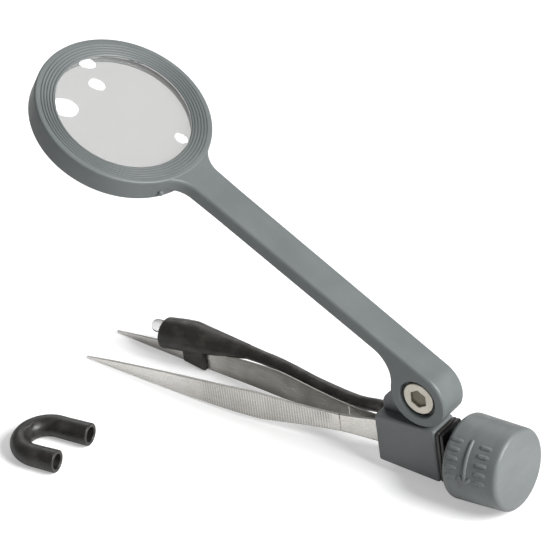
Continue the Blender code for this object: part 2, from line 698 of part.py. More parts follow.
def build_light(body, rubber, glass):
    rim = POD_RIM / (POD_REAR_X - POD_FRONT_X)
    shares = [0, rim] + [i / 12 for i in range(1, 13)]
    hinge = body.location
    pod = shifted(loft([pod_section(share) for share in shares]), -hinge)
    holder = new_object("led_holder", pod, rubber, body, 35)
    middle = (CLIP_FRONT_X + CLIP_REAR_X) / 2
    clip_y = blade_outer(middle) - BLADE_THICKNESS / 2
    clip = prism(clip_outline(), BLADE_THICKNESS / 2 + GAP + CLIP_WALL, CLIP_EDGE)
    combine(holder, shifted(clip, Vector((0, clip_y, 0)) - hinge), "UNION")
    channel = loft(blade_sections(POD_FRONT_X - OVERSHOOT, POD_REAR_X + OVERSHOOT, 14, 1, GAP))
    combine(holder, shifted(channel, -hinge), "DIFFERENCE")
    seat = rod(BULB_RADIUS + GAP, POD_FRONT_X - OVERSHOOT, POD_FRONT_X + BULB_SEAT_DEPTH, "X",
               (0, POD_FRONT_Y, BULB_Z), 24)
    combine(holder, shifted(seat, -hinge), "DIFFERENCE")

    dome_x = POD_FRONT_X - BULB_REACH + BULB_RADIUS
    profile = [(0, dome_x - BULB_RADIUS)]
    for angle in range(15, 91, 15):
        turn = math.radians(angle)
        profile.append((BULB_RADIUS * math.sin(turn), dome_x - BULB_RADIUS * math.cos(turn)))
    back = POD_FRONT_X + BULB_SEAT_DEPTH - GAP
    profile += [(BULB_RADIUS, back), (0, back)]
    bulb = shifted(turned(profile, "X", 24), (0, POD_FRONT_Y, BULB_Z))
    new_object("led_bulb", shifted(bulb, -hinge), glass, body, 40)


def sleeve_path():
    """Centre line of the sleeved lead, outside the far blade and down to the housing."""
    return curve_through(SLEEVE_KNOTS, 4)


def build_lead(fixed, far_body, rubber, wire):
    path = sleeve_path()
    front = [point for point in path if point.x < WAIST_X - GAP]
    rear = [point for point in path if point.x > WAIST_X + GAP]
    cut = min(path, key=lambda point: abs(point.x - WAIST_X))
    front.append(cut + (front[-1] - cut).normalized() * GAP / 2)
    rear.insert(0, cut + (rear[0] - cut).normalized() * GAP / 2)
    front_sleeve = shifted(swept(front, [SLEEVE_RADIUS] * len(front)), -far_body.location)
    new_object("lead_sleeve_front", front_sleeve, rubber, far_body, 50)
    rear_sleeve = swept(rear, [SLEEVE_RADIUS] * len(rear))
    new_object("lead_sleeve_rear", rear_sleeve, rubber, fixed, 50)
    lead = curve_through(LEAD_KNOTS, 4)
    new_object("lead_wire", swept(lead, [LEAD_RADIUS] * len(lead), 8), wire, fixed, 50)


# ---------------------------------------------------------------- battery end

def build_battery_neck(body, materials, pitch):
    low = underside(HOUSING_REAR_X, pitch) + GASKET_INSET
    high = HOUSING_TOP_Z - GASKET_INSET
    wide = HOUSING_HALF_WIDTH - GASKET_INSET
    x = HOUSING_REAR_X + GAP
    gasket = box((x, -wide, low), (x + GASKET_THICKNESS, wide, high))
    bmesh.ops.bevel(gasket, geom=[edge for edge in gasket.edges if along_x(edge)],
                    offset=HOUSING_EDGE, segments=3, profile=0.5, affect="EDGES")
    gasket = new_object("housing_gasket", gasket, materials["rubber"], body, 30)
    bore = LEAD_RADIUS + 2 * GAP
    combine(gasket, rod(bore, 0, CAP_FRONT_X, "X", segments=24), "DIFFERENCE")

    x += GASKET_THICKNESS + GAP
    plate = box((x, -wide, low), (x + NECK_PLATE_THICKNESS, wide, high))
    bmesh.ops.bevel(plate, geom=[edge for edge in plate.edges if along_x(edge)],
                    offset=HOUSING_EDGE, segments=3, profile=0.5, affect="EDGES")
    neck = new_object("battery_neck", plate, materials["black"], body, 30)
    seat_front = CAP_FRONT_X + GAP
    seat_rear = seat_front + SEAT_THICKNESS
    base = x + NECK_PLATE_THICKNESS / 2
    plug = turned([(0, base), (NECK_RADIUS, base), (NECK_RADIUS, seat_front),
                   (SEAT_RADIUS, seat_front), (SEAT_RADIUS, seat_rear), (0, seat_rear)],
                  "X", 48)
    combine(neck, plug, "UNION")
    combine(neck, rod(bore, x - OVERSHOOT, seat_rear + OVERSHOOT, "X", segments=24), "DIFFERENCE")

    cell_x = seat_rear + 2 * GAP
    pin = rod(LEAD_RADIUS + GAP, LEAD_REAR_X + GAP, cell_x - GAP, "X", segments=20)
    new_object("contact_pin", pin, materials["brass"], body, 30)
    for number in range(1, CELL_COUNT + 1):
        end = cell_x + CELL_THICKNESS
        cell = turned([(0, cell_x), (CELL_RADIUS - CELL_EDGE, cell_x),
                       (CELL_RADIUS, cell_x + CELL_EDGE), (CELL_RADIUS, end - CELL_EDGE),
                       (CELL_RADIUS - CELL_EDGE, end), (0, end)], "X", 28)
        new_object(f"battery_cell_{number}", cell, materials["steel"], body, 30)
        cell_x = end + GAP
    sleeve = tube(CELL_RADIUS + GAP, CELL_RADIUS + GAP + CELL_SLEEVE_WALL, seat_rear + GAP, cell_x,
                  "X", 40)
    new_object("cell_sleeve", sleeve, materials["white"], body, 30)
    return cell_x


def along_x(edge):
    first, second = edge.verts
    return abs(first.co.x - second.co.x) > SAME_STATION


def build_contact(body, steel, start):
    plate_end = start + PLATE_THICKNESS
    new_object("spring_plate", rod(PLATE_RADIUS, start, plate_end, "X", segments=32), steel,
               body, 30)
    low = plate_end + GAP + SPRING_WIRE
    high = CAP_REAR_X - CAP_END_WALL - GAP - SPRING_WIRE
    points = []
    steps = int(SPRING_TURNS * 16)
    for i in range(steps + 1):
        angle = 2 * math.pi * SPRING_TURNS * i / steps
        points.append(Vector((low + (high - low) * i / steps, SPRING_RADIUS * math.cos(angle),
                              SPRING_RADIUS * math.sin(angle))))
    new_object("contact_spring", coil(points), steel, body, 50)


def coil(points):
    """Round wire along a helix about X."""
    sections = []
    for point in points:
        radial = Vector((0, point.y, point.z)).normalized()
        axial = Vector((1, 0, 0))
        ring = []
        for k in range(8):
            angle = 2 * math.pi * k / 8
            ring.append(point + SPRING_WIRE * (radial * math.cos(angle) + axial * math.sin(angle)))
        sections.append(ring)
    return loft(sections)


def build_cap(body, plastic):
    """Hollow knob with a slight draft; its front rim is softer than the rear one."""
    profile = [(0, CAP_REAR_X)]
    for angle in (0, 22.5, 45, 67.5, 90):
        turn = math.radians(angle)
        profile.append((CAP_REAR_RADIUS - CAP_REAR_EDGE * (1 - math.sin(turn)),
                        CAP_REAR_X - CAP_REAR_EDGE * (1 - math.cos(turn))))
    for angle in (0, 22.5, 45, 67.5, 90):
        turn = math.radians(angle)
        profile.append((CAP_FRONT_RADIUS - CAP_FRONT_EDGE * (1 - math.cos(turn)),
                        CAP_FRONT_X + CAP_FRONT_EDGE * (1 - math.sin(turn))))
    inner_end = CAP_REAR_X - CAP_END_WALL
    profile += [(CAP_BORE, CAP_FRONT_X), (CAP_BORE, inner_end), (0, inner_end)]
    new_object("battery_cap", turned(profile, "X", 52), plastic, body, 30)


# ---------------------------------------------------------------- tip guard

def build_tip_guard(body, rubber):
    """U of soft tube, thinner round the bend; both arm ends are sockets for the tips."""
    path = [(GUARD_NEAR_ARM, -GUARD_SPACING, GUARD_END_RADIUS), (0, -GUARD_SPACING, GUARD_ARM_RADIUS)]
    for i in range(1, 16):
        angle = math.pi * i / 16
        bend = GUARD_ARM_RADIUS + (GUARD_BEND_RADIUS - GUARD_ARM_RADIUS) * math.sin(angle)
        path.append((-GUARD_SPACING * math.sin(angle), -GUARD_SPACING * math.cos(angle), bend))
    path += [(0, GUARD_SPACING, GUARD_ARM_RADIUS), (GUARD_FAR_ARM, GUARD_SPACING, GUARD_END_RADIUS)]
    guard = swept([Vector(point) for point in path], [point[2] for point in path], 16)
    guard = new_object("tip_guard", guard, rubber, body, 50)
    for side, arm in ((-1, GUARD_NEAR_ARM), (1, GUARD_FAR_ARM)):
        socket = rod(GUARD_SOCKET_RADIUS, arm - GUARD_SOCKET_DEPTH, arm + OVERSHOOT, "X",
                     (0, side * GUARD_SPACING, GUARD_END_RADIUS), 16)
        combine(guard, socket, "DIFFERENCE")


def main():
    clear_scene()
    materials = {
        "plastic": make_material("grey_plastic", (0.22, 0.245, 0.245), 0.55),
        "housing": make_material("housing_grey", (0.17, 0.19, 0.19), 0.55),
        "black": make_material("black_plastic", (0.02, 0.02, 0.02), 0.5),
        "rubber": make_material("black_rubber", (0.03, 0.03, 0.03), 0.7),
        "steel": make_material("steel", (0.55, 0.53, 0.49), 0.3, 1.0),
        "brass": make_material("brass", (0.75, 0.55, 0.25), 0.35, 1.0),
        "white": make_material("white_sleeve", (0.75, 0.75, 0.72), 0.6),
        "glass": make_material("lens_acrylic", (0.85, 0.87, 0.86), 0.05, 0.0, 0.35),
    }
    pitch = floor_pitch()
    middle_x = (HOUSING_FRONT_X + HOUSING_REAR_X) / 2
    pitch_turn = Matrix.Rotation(-pitch, 4, "Y")
    origin = pitch_turn @ Vector((middle_x, 0, UNDERSIDE_MID_Z))
    tongs = new_empty("tongs_frame", None, -origin, (0, -pitch, 0))

    waist_y = blade_outer(WAIST_X) - BLADE_THICKNESS / 2
    magnifier = new_empty("magnifier_axis", tongs, (PIVOT_X, 0, PIVOT_Z), (0, ARM_ANGLE, 0))
    near = new_empty("near_blade_axis", tongs, (WAIST_X, -waist_y, 0))
    far = new_empty("far_blade_axis", tongs, (WAIST_X, waist_y, 0))
    carriage = new_empty("cap_carriage_axis", tongs)
    cap = new_empty("cap_axis", carriage)
    tip = pitch_turn @ Vector((TIP_X, 0, 0)) - origin
    up = Vector((math.sin(pitch), 0, math.cos(pitch)))
    floor_z = cap_rim_centre().dot(up) - CAP_FRONT_EDGE - origin.z
    guard_at = Vector((tip.x, 0, floor_z)) + GUARD_OFFSET
    guard = new_empty("tip_guard_place", None, guard_at, (0, 0, GUARD_YAW))

    build_housing(tongs, materials["housing"], pitch)
    build_blades(tongs, near, far, materials["steel"])
    build_root_parts(tongs, materials["steel"], materials["black"])
    build_hinge_parts(tongs, materials["brass"], materials["white"])
    build_magnifier(magnifier, materials["plastic"], materials["glass"], materials["steel"])
    build_light(far, materials["rubber"], materials["glass"])
    build_lead(tongs, far, materials["rubber"], materials["brass"])
    contact_x = build_battery_neck(tongs, materials, pitch)
    build_contact(carriage, materials["steel"], contact_x)
    build_cap(cap, materials["plastic"])
    build_tip_guard(guard, materials["rubber"])


main()
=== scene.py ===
"""Finished look of the stamp tongs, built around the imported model.

Pieces are drawn in the tongs frame (X along the tongs with the tips at -X and the
battery cap at +X, Y across the blades, Z up) or in the magnifier frame (the pivot at
the origin, the arm along -X), and each one rides on the body its node belongs to.
"""
import json
import math

import bmesh
import bpy
from mathutils import Matrix, Vector, noise


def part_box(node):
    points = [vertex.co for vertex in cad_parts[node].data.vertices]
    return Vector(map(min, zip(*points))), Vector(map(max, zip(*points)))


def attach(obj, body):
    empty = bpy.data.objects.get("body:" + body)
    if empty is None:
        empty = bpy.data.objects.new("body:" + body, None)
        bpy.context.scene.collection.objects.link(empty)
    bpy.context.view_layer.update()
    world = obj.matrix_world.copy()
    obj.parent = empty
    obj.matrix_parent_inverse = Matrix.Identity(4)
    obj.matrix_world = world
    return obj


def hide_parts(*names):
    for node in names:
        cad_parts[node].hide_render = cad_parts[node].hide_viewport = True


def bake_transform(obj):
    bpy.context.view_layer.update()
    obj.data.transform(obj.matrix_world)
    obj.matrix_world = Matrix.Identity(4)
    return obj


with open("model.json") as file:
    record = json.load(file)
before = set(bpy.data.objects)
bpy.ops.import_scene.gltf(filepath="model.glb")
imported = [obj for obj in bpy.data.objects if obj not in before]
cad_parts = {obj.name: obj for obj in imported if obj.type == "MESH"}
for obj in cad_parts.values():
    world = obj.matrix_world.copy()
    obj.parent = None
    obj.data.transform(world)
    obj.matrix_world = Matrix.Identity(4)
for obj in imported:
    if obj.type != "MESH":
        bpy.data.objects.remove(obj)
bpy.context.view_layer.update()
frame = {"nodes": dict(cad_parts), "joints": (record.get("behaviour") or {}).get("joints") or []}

MM = 0.001
GAP = 0.3 * MM
OVERSHOOT = 1.0 * MM
JOINTS = {joint["name"]: joint for joint in frame["joints"]}

# housing
HOUSING_FRONT = -15.7 * MM
HOUSING_REAR = 3.5 * MM
HOUSING_HALF = 4.75 * MM
HOUSING_TOP = 8.2 * MM
HOUSING_UNDER = -7.3 * MM
HOUSING_EDGE = 0.8 * MM
TONGUE_RADIUS = 5.9 * MM
TONGUE_HALF = 1.1 * MM
TONGUE_EASE = 0.25 * MM
TONGUE_REAR = -75
TONGUE_FRONT = 194
# millimetres from the pivot
TONGUE_FLARE = ((-5.72, -1.43), (-8.4, -1.9), (-10.9, -2.8), (-13.2, -4.6), (-14.1, -6.4))
TONGUE_FOOT_REAR = 2.3 * MM
TONGUE_SUNK = 1.5 * MM
PIVOT_X = -0.8 * MM
PIVOT_Z = 17.1 * MM
BUSH_ROOM = 1.3 * MM
BLADE_SLOT_HALF = 1.55 * MM
BLADE_SLOT_REACH = 3.95 * MM
PIN_HOLE = 1.1 * MM
PIN_POCKET = 2.65 * MM
LEAD_HOLE = 0.9 * MM
CHAMBER_FRONT = -0.1 * MM
CHAMBER_REACH = 1.5 * MM

# magnifier
ARM_ANGLE = math.radians(31.0)
ARM_LENGTH = 109.5 * MM
ARM_UNDER = 4.0 * MM
ARM_CORNER = 1.0 * MM
ARM_HALF_ROOT = 4.75 * MM
ARM_HALF_RING = 5.3 * MM
FORK_RADIUS = 8.5 * MM
FORK_FILLET = 9.5 * MM
FORK_SLOT_HALF = 2.0 * MM
FORK_SLOT_RADIUS = 6.3 * MM
FORK_SLOT_REAR = -11
FORK_SLOT_FRONT = -170
RING_TOP = 8.7 * MM
RING_UNDER = 1.8 * MM
RING_RADIUS = 24.7 * MM
RING_FILLET = 7.5 * MM
RING_FACE = 23.2 * MM
RING_APERTURE = 19.05 * MM
RING_BORE = 20.8 * MM
RING_LIP = 7.7 * MM
RING_EDGE = 0.6 * MM
RING_FALL = 0.4 * MM
RING_GROOVES = 5
RING_GROOVE_DEPTH = 0.3 * MM
RING_NOSE = 0.12 * MM
LENS_RADIUS = 20.5 * MM
LENS_TOP = 7.4 * MM
LENS_EDGE = 3.3 * MM
LENS_STEP = 0.7 * MM
LENS_RISE = 0.9 * MM
LENS_BULGE = 1.9 * MM
ACRYLIC_IOR = 1.49
RETAINER_WIDTH = 1.1 * MM
RETAINER_HEIGHT = 1.5 * MM
RETAINER_EDGE = 0.25 * MM
NOTCH_ANGLES = (60, 240)
NOTCH_HALF = 0.8 * MM
NOTCH_DEPTH = 0.4 * MM
GATE_RADIUS = 0.8 * MM
GATE_REACH = 25.0 * MM
GATE_ANGLE = math.radians(-24)
GATE_HEIGHT = 2.2 * MM
RECESS_RADIUS = 5.5 * MM
RECESS_FLOOR = 2.85 * MM
RECESS_EASE = 0.25 * MM
SCREW_RADIUS = 4.7 * MM
SCREW_FACE = 4.15 * MM
SCREW_INNER = 3.15 * MM
SCREW_SHANK = 2.0 * MM
SCREW_EDGE = 0.4 * MM
SHANK_EDGE = 0.15 * MM
HEX_FLATS = 4.6 * MM
HEX_DEPTH = 0.7 * MM
HEX_FLARE = 0.2 * MM
HEX_FLARE_OUTSIDE = 0.05 * MM
HEX_FLARE_DEPTH = 0.15 * MM
HEX_SHADE_DEPTH = 0.1 * MM
NUT_CORNER = 4.1 * MM
NUT_CONE = 4.35 * MM
NUT_FACE = 3.6 * MM
NUT_EDGE = 0.35 * MM

# blades
TIP_X = -111.8 * MM
BELLY_X = -54.0 * MM
WAIST_X = -29.0 * MM
ROOT_END = -1.5 * MM
ROOT_SPREAD = 1.25 * MM
SPREAD_SLOPE = 0.132
SPREAD_START = -18.0 * MM
SPREAD_ROUNDING = 0.5 * MM
BLADE_SPREAD = 6.6 * MM
BLADE_SPLAY = 0.012
BLADE_THICKNESS = 0.7 * MM
TIP_SHARE = 0.55
TAPER_LENGTH = 9.0 * MM
TIP_HEIGHT = 0.7 * MM
BELLY_HEIGHT = 8.7 * MM
BELLY_POWER = 1.4
WAIST_HEIGHT = 5.6 * MM
WAIST_POWER = 1.2
MOUTH_HEIGHT = 7.3 * MM
BLADE_EASE = 0.16 * MM
PIN_X = (-11.0 * MM, -5.0 * MM)
RIBS_FROM = -73.5 * MM
RIBS_TO = -31.0 * MM
RIB_PITCH = 0.8 * MM
RIB_DEPTH = 0.12 * MM
RIB_MARGIN = 0.5 * MM
RIB_EDGE = 0.1 * MM
RIB_FADE = 2.0 * MM
# span over which the blades' colour is painted lighter towards the tip (painted light)
TIP_LIGHT_FROM = -72.0 * MM
TIP_LIGHT_TO = -86.0 * MM

# light
POD_FRONT = -93.8 * MM
POD_REAR = -67.0 * MM
POD_SWELL = 0.35
POD_RIM = 0.35 * MM
# shares of the pod's length
POD_RIM_SHARES = (0.0, 0.001, 0.003, 0.006, 0.0095, 0.0131)
POD_Y_FRONT = 6.95 * MM
POD_Y_REAR = 8.75 * MM
POD_RADIUS = Vector((4.45, 0.1, -2.45)) * MM  # at the front, change by swell, change by taper
POD_Z = Vector((4.75, 0.75, -0.5)) * MM
CHANNEL_FRONT = -96.8 * MM
CHANNEL_REAR = -63.0 * MM
LEG_FRONT = -87.5 * MM
LEG_REAR = -80.0 * MM
LEG_TOP = 5.5 * MM
LEG_FRONT_FOOT = -1.6 * MM
LEG_REAR_FOOT = -3.0 * MM
LEG_FLAT = 1.0 * MM
LEG_HALF = 1.75 * MM
LEG_EDGE = 0.6 * MM
BLADE_CLEARANCE = 0.2 * MM
BULB_RADIUS = 1.9 * MM
BULB_Y = 6.95 * MM
BULB_Z = 6.3 * MM
BULB_REACH = 4.6 * MM
BULB_BACK = 6.2 * MM
BULB_SEAT = 6.5 * MM
BULB_CLEARANCE = 0.15 * MM
EPOXY_IOR = 1.53
# centre line in millimetres
SLEEVE_KNOTS = ((-67.3, 8.8, 4.98), (-56, 8.5, 4.0), (-43, 7.2, 2.4), (-29, 5.2, 2.4),
                (-20, 3.45, 4.5), (-15.7, 2.2, 5.6), (-10.5, 2.2, 5.6))
SLEEVE_RADIUS = 1.85 * MM
SLEEVE_REAR = -10.5 * MM
SLEEVE_WOBBLE = 0.04 * MM
SLEEVE_FLARE = 0.2 * MM
SLEEVE_FLARE_LENGTH = 6.0 * MM
LEAD_Y = 2.2 * MM
LEAD_Z = 5.6 * MM

# battery end
PLATE_INSET = 0.25 * MM
PLATE_EASE = 0.15 * MM
GASKET_THICKNESS = 0.9 * MM
PLATE_THICKNESS = 1.0 * MM
LEAD_BORE = 1.2 * MM
CAP_FRONT = 9.2 * MM
CAP_REAR = 26.3 * MM
CAP_FRONT_RADIUS = 11.7 * MM
CAP_REAR_RADIUS = 11.4 * MM
CAP_FRONT_EDGE = 1.6 * MM
CAP_REAR_EDGE = 1.3 * MM
CAP_BORE = 9.9 * MM
CAP_WALL = 1.5 * MM
CAP_MOUTH_EDGE = 0.2 * MM
CAP_BORE_EDGE = 0.5 * MM
NECK_RADIUS = 5.0 * MM
SEAT_RADIUS = 9.5 * MM
SEAT_THICKNESS = 1.8 * MM
SEAT_EDGE = 0.3 * MM
SEAT_FILLET = 0.6 * MM

# raised arrow and ticks on the cap, in degrees from the top towards -Y
ARROW_X = 16.6 * MM
ARROW_FROM = 28.0
ARROW_TO = 88.0
TICK_ROWS = (12.4 * MM, 21.2 * MM)
TICK_ANGLES = (34, 46, 58, 70, 82)
TICK_HALF = 1.7 * MM
ARROW_HEAD = 1.8 * MM
ARROW_HEAD_ANGLE = 9
MARK_RADIUS = 0.62 * MM
MARK_SINK = 0.15 * MM

# tip guard
GUARD_BEND = 2.9 * MM
GUARD_TUBE = 3.1 * MM
GUARD_END = 3.2 * MM
GUARD_SPACING = 6.95 * MM
GUARD_NEAR_ARM = 7.2 * MM
GUARD_FAR_ARM = 9.8 * MM
GUARD_SOCKET = 2.1 * MM
GUARD_SOCKET_DEPTH = 4.5 * MM
GUARD_EDGE = 0.35 * MM
GUARD_YAW = math.radians(9)
GUARD_OFFSET = (16.2 * MM, -46.1 * MM)

# camera, about the tongs frame
CAMERA_AZIMUTH = math.radians(39.80)
CAMERA_ELEVATION = math.radians(32.05)
CAMERA_ROLL = math.radians(-7.94)
CAMERA_DISTANCE = 1.08
CAMERA_RIGHT = -42.37 * MM
CAMERA_UP = 44.92 * MM
CAMERA_LENS = 268.0
CAMERA_SENSOR = 36.0

# studio
FLOOR_SIZE = 3.0
FLOOR_DROP = 0.02 * MM
FLOOR_GLOW = 0.38
WORLD_STRENGTH = 0.19
LIGHT_TARGET = (-0.04, 0.0, 0.03)
KEY_PLACE = (1.85, 0.1, 1.55)
KEY_SIZE = 1.3
KEY_POWER = 100.0
CARD_PLACE = (-1.1, 1.3, 1.07)
CARD_SIZE = 1.2
CARD_POWER = 6.0

# small studio lamps that gleam in the lens: place and diameter in metres
LENS_LAMP_POWER = 45.0
LENS_LAMPS = (((-0.075, 0.479, 0.838), 0.064), ((-0.098, 0.588, 0.767), 0.038),
              ((-0.163, 0.617, 0.744), 0.038), ((0.106, 0.63, 0.694), 0.032))


# ---- frames

def tongs_frame():
    along = Vector(JOINTS["cap_travel"]["axis"]).normalized()
    across = Vector((0, 1, 0))
    turn = Matrix((along, across, along.cross(across))).transposed()
    return Matrix.Translation(JOINTS["cap_turn"]["pos_m"]) @ turn.to_4x4()


TONGS = tongs_frame()
PITCH = math.atan2(TONGS[2][0], TONGS[0][0])
PIVOT = TONGS @ Matrix.Translation((PIVOT_X, 0, PIVOT_Z))
MAGNIFIER = PIVOT @ Matrix.Rotation(ARM_ANGLE, 4, "Y")
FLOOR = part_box("battery_cap")[0].z
TIP = TONGS @ Vector((TIP_X, 0, 0))
GUARD_PLACE = Vector((TIP.x + GUARD_OFFSET[0], GUARD_OFFSET[1], FLOOR))
GUARD = Matrix.Translation(GUARD_PLACE) @ Matrix.Rotation(GUARD_YAW, 4, "Z")


# ---- mesh helpers

def between(start, end, share):
    return start + (end - start) * share


def evenly(start, end, steps):
    """Values in equal steps, with both ends."""
    return [between(start, end, i / steps) for i in range(steps + 1)]


def circle(radius, count):
    angles = [2 * math.pi * i / count for i in range(count)]
    return [(radius * math.cos(a), radius * math.sin(a)) for a in angles]


def loft(sections, closed=True):
    """Skin equal rings of points, and close both ends."""
    mesh = bmesh.new()
    rings = [[mesh.verts.new(point) for point in section] for section in sections]
    count = len(rings[0])
    for ring, following in zip(rings, rings[1:]):
        for i in range(count):
            j = (i + 1) % count
            mesh.faces.new((ring[i], ring[j], following[j], following[i]))
    if closed:
        mesh.faces.new(rings[0])
        mesh.faces.new(list(reversed(rings[-1])))
    return mesh


def prism(outline, half_width):
    """Extrude an outline of (x, z) points across Y."""
    return loft([[(x, y, z) for x, z in outline] for y in (-half_width, half_width)])


def turned(profile, axis, segments=96):
    """Revolve (radius, height) points about an axis; zero radius closes an end."""
    mesh = bmesh.new()
    rings = []
    for radius, height in profile:
        points = circle(radius, segments) if radius else [(0, 0)]
        rings.append([mesh.verts.new((x, y, height)) for x, y in points])
    pairs = list(zip(rings, rings[1:]))
    if len(rings[0]) > 1 or len(rings[-1]) > 1:
        pairs.append((rings[-1], rings[0]))
    for first, second in pairs:
        for i in range(segments):
            j = (i + 1) % segments
            corners = [first[i % len(first)], first[j % len(first)],
                       second[j % len(second)], second[i % len(second)]]
            face = list(dict.fromkeys(corners))
            if len(face) > 2:
                mesh.faces.new(face)
    turn = {"X": Matrix.Rotation(math.pi / 2, 4, "Y"),
            "Y": Matrix.Rotation(-math.pi / 2, 4, "X"),
            "Z": Matrix.Identity(4)}[axis]
    mesh.transform(turn)
    return mesh


def rod(radius, start, end, axis, at=(0, 0, 0), segments=48):
    mesh = turned([(0, start), (radius, start), (radius, end), (0, end)], axis, segments)
    mesh.transform(Matrix.Translation(at))
    return mesh


def swept(points, radii, sides=32):
    """Round rod along a path of points, with a radius at each."""
    sections = []
    last = len(points) - 1
    for i, (point, radius) in enumerate(zip(points, radii)):
        forward = (points[min(i + 1, last)] - points[max(i - 1, 0)]).normalized()
        side = forward.cross(Vector((0, 0, 1))).normalized()
        up = side.cross(forward)
        sections.append([point + side * x + up * y for x, y in circle(radius, sides)])
    return loft(sections)


def box(low, high):
    mesh = bmesh.new()
    bmesh.ops.create_cube(mesh, size=1.0)
    for vert in mesh.verts:
        vert.co = [a + (c + 0.5) * (b - a) for a, b, c in zip(low, high, vert.co)]
    return mesh


def curve_through(knots, steps):
    """Catmull-Rom points through a few knots."""
    knots = [Vector(knot) for knot in knots]
    padded = [2 * knots[0] - knots[1]] + knots + [2 * knots[-1] - knots[-2]]
    points = []
    for a, b, c, d in zip(padded, padded[1:], padded[2:], padded[3:]):
        for i in range(steps):
            t = i / steps
            points.append(0.5 * (2 * b + (c - a) * t + (2 * a - 5 * b + 4 * c - d) * t ** 2
                                 + (3 * b - a - 3 * c + d) * t ** 3))
    points.append(knots[-1])
    return points


def round_corner(centre, radius, first, last, steps=6):
    """Points of an arc, as (radius, height) or (x, z) pairs."""
    angles = [math.radians(angle) for angle in evenly(first, last, steps)]
    return [(centre[0] + radius * math.cos(a), centre[1] + radius * math.sin(a)) for a in angles]


def new_object(name, data):
    item = bpy.data.objects.new(name, data)
    bpy.context.collection.objects.link(item)
    return item


def as_object(name, mesh_data, place):
    bmesh.ops.recalc_face_normals(mesh_data, faces=mesh_data.faces)
    mesh = bpy.data.meshes.new(name)
    mesh_data.to_mesh(mesh)
    mesh_data.free()
    item = new_object(name, mesh)
    item.matrix_world = place
    return item


def combine(target, tool_mesh, operation):
    """Cut the mesh from the target, or join it on, and keep only the result."""
    tool = as_object(f"{target.name}_tool", tool_mesh, target.matrix_world.copy())
    modifier = target.modifiers.new(operation, "BOOLEAN")
    modifier.operation = operation
    modifier.object = tool
    modifier.solver = "EXACT"
    apply_modifiers(target)
    bpy.data.objects.remove(tool, do_unlink=True)


def apply_modifiers(item):
    bpy.context.view_layer.update()
    graph = bpy.context.evaluated_depsgraph_get()
    result = bpy.data.meshes.new_from_object(item.evaluated_get(graph))
    item.modifiers.clear()
    item.data = result


def round_edges(item, width, segments=3, angle=30):
    """Round every edge sharper than the angle."""
    modifier = item.modifiers.new("round", "BEVEL")
    modifier.width = width
    modifier.segments = segments
    modifier.limit_method = "ANGLE"
    modifier.angle_limit = math.radians(angle)
    modifier.use_clamp_overlap = True
    modifier.miter_outer = "MITER_ARC"
    apply_modifiers(item)


def rounded_prism(outline, half_width, ease, segments, angle=30):
    """Prism with rounded edges, as a mesh that is ready to combine."""
    item = as_object("prism", prism(outline, half_width), TONGS)
    round_edges(item, ease, segments, angle)
    mesh = bmesh.new()
    mesh.from_mesh(item.data)
    bpy.data.objects.remove(item, do_unlink=True)
    return mesh


def finish_piece(item, body, material, *nodes, sharp=35, slot=None):
    """Smooth the piece, give it its material and hang it on its body."""
    mesh = item.data
    mesh.shade_smooth()
    mesh.set_sharp_from_angle(angle=math.radians(sharp))
    weighted = item.modifiers.new("weighted", "WEIGHTED_NORMAL")
    weighted.keep_sharp = True
    apply_modifiers(item)
    item.data.materials.clear()
    item.data.materials.append(material)
    if body:
        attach(item, body)
    if nodes:
        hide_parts(*nodes)
    return item


# ---- materials

def connect(tree, node, inputs):
    """Give each input a value, or link it to another node's output."""
    for key, value in inputs.items():
        if isinstance(value, bpy.types.NodeSocket):
            tree.links.new(value, node.inputs[key])
        else:
            node.inputs[key].default_value = value


def add(tree, kind, inputs=None, **settings):
    node = tree.nodes.new(kind)
    for key, value in settings.items():
        setattr(node, key, value)
    connect(tree, node, inputs or {})
    return node


def own_place(tree):
    """The piece's own coordinates."""
    return add(tree, "ShaderNodeTexCoord").outputs["Object"]


def grain(tree, scale, detail=2.0, stretch=(1, 1, 1)):
    """Noise in the piece's own coordinates; scale is in cells per metre."""
    mapping = add(tree, "ShaderNodeMapping", {"Vector": own_place(tree), "Scale": stretch})
    texture = add(tree, "ShaderNodeTexNoise",
                  {"Vector": mapping.outputs["Vector"], "Scale": scale, "Detail": detail})
    return texture.outputs["Fac"]


def spread(tree, source, from_low, from_high, to_low, to_high):
    """Map a range of a value onto another range, clamped."""
    node = add(tree, "ShaderNodeMapRange",
               {"Value": source, "From Min": from_low, "From Max": from_high,
                "To Min": to_low, "To Max": to_high})
    return node.outputs["Result"]


def product(tree, first, second):
    return add(tree, "ShaderNodeMath", {0: first, 1: second}, operation="MULTIPLY").outputs[0]


def mix_colours(tree, share, first, second):
    """Blend two colours; each is a triple or the output of another node."""
    inputs = {0: share}
    for number, colour in ((6, first), (7, second)):
        inputs[number] = (*colour, 1.0) if isinstance(colour, tuple) else colour
    return add(tree, "ShaderNodeMix", inputs, data_type="RGBA").outputs[2]


def bump(tree, height, distance, strength=1.0, under=None):
    inputs = {"Height": height, "Distance": distance, "Strength": strength}
    if under:
        inputs["Normal"] = under
    return add(tree, "ShaderNodeBump", inputs).outputs["Normal"]


def new_material(name, roughness=0.5, metallic=0.0):
    material = bpy.data.materials.new(name)
    material.use_nodes = True
    tree = material.node_tree
    shader = tree.nodes["Principled BSDF"]
    connect(tree, shader, {"Roughness": roughness, "Metallic": metallic})
    return material, tree, shader


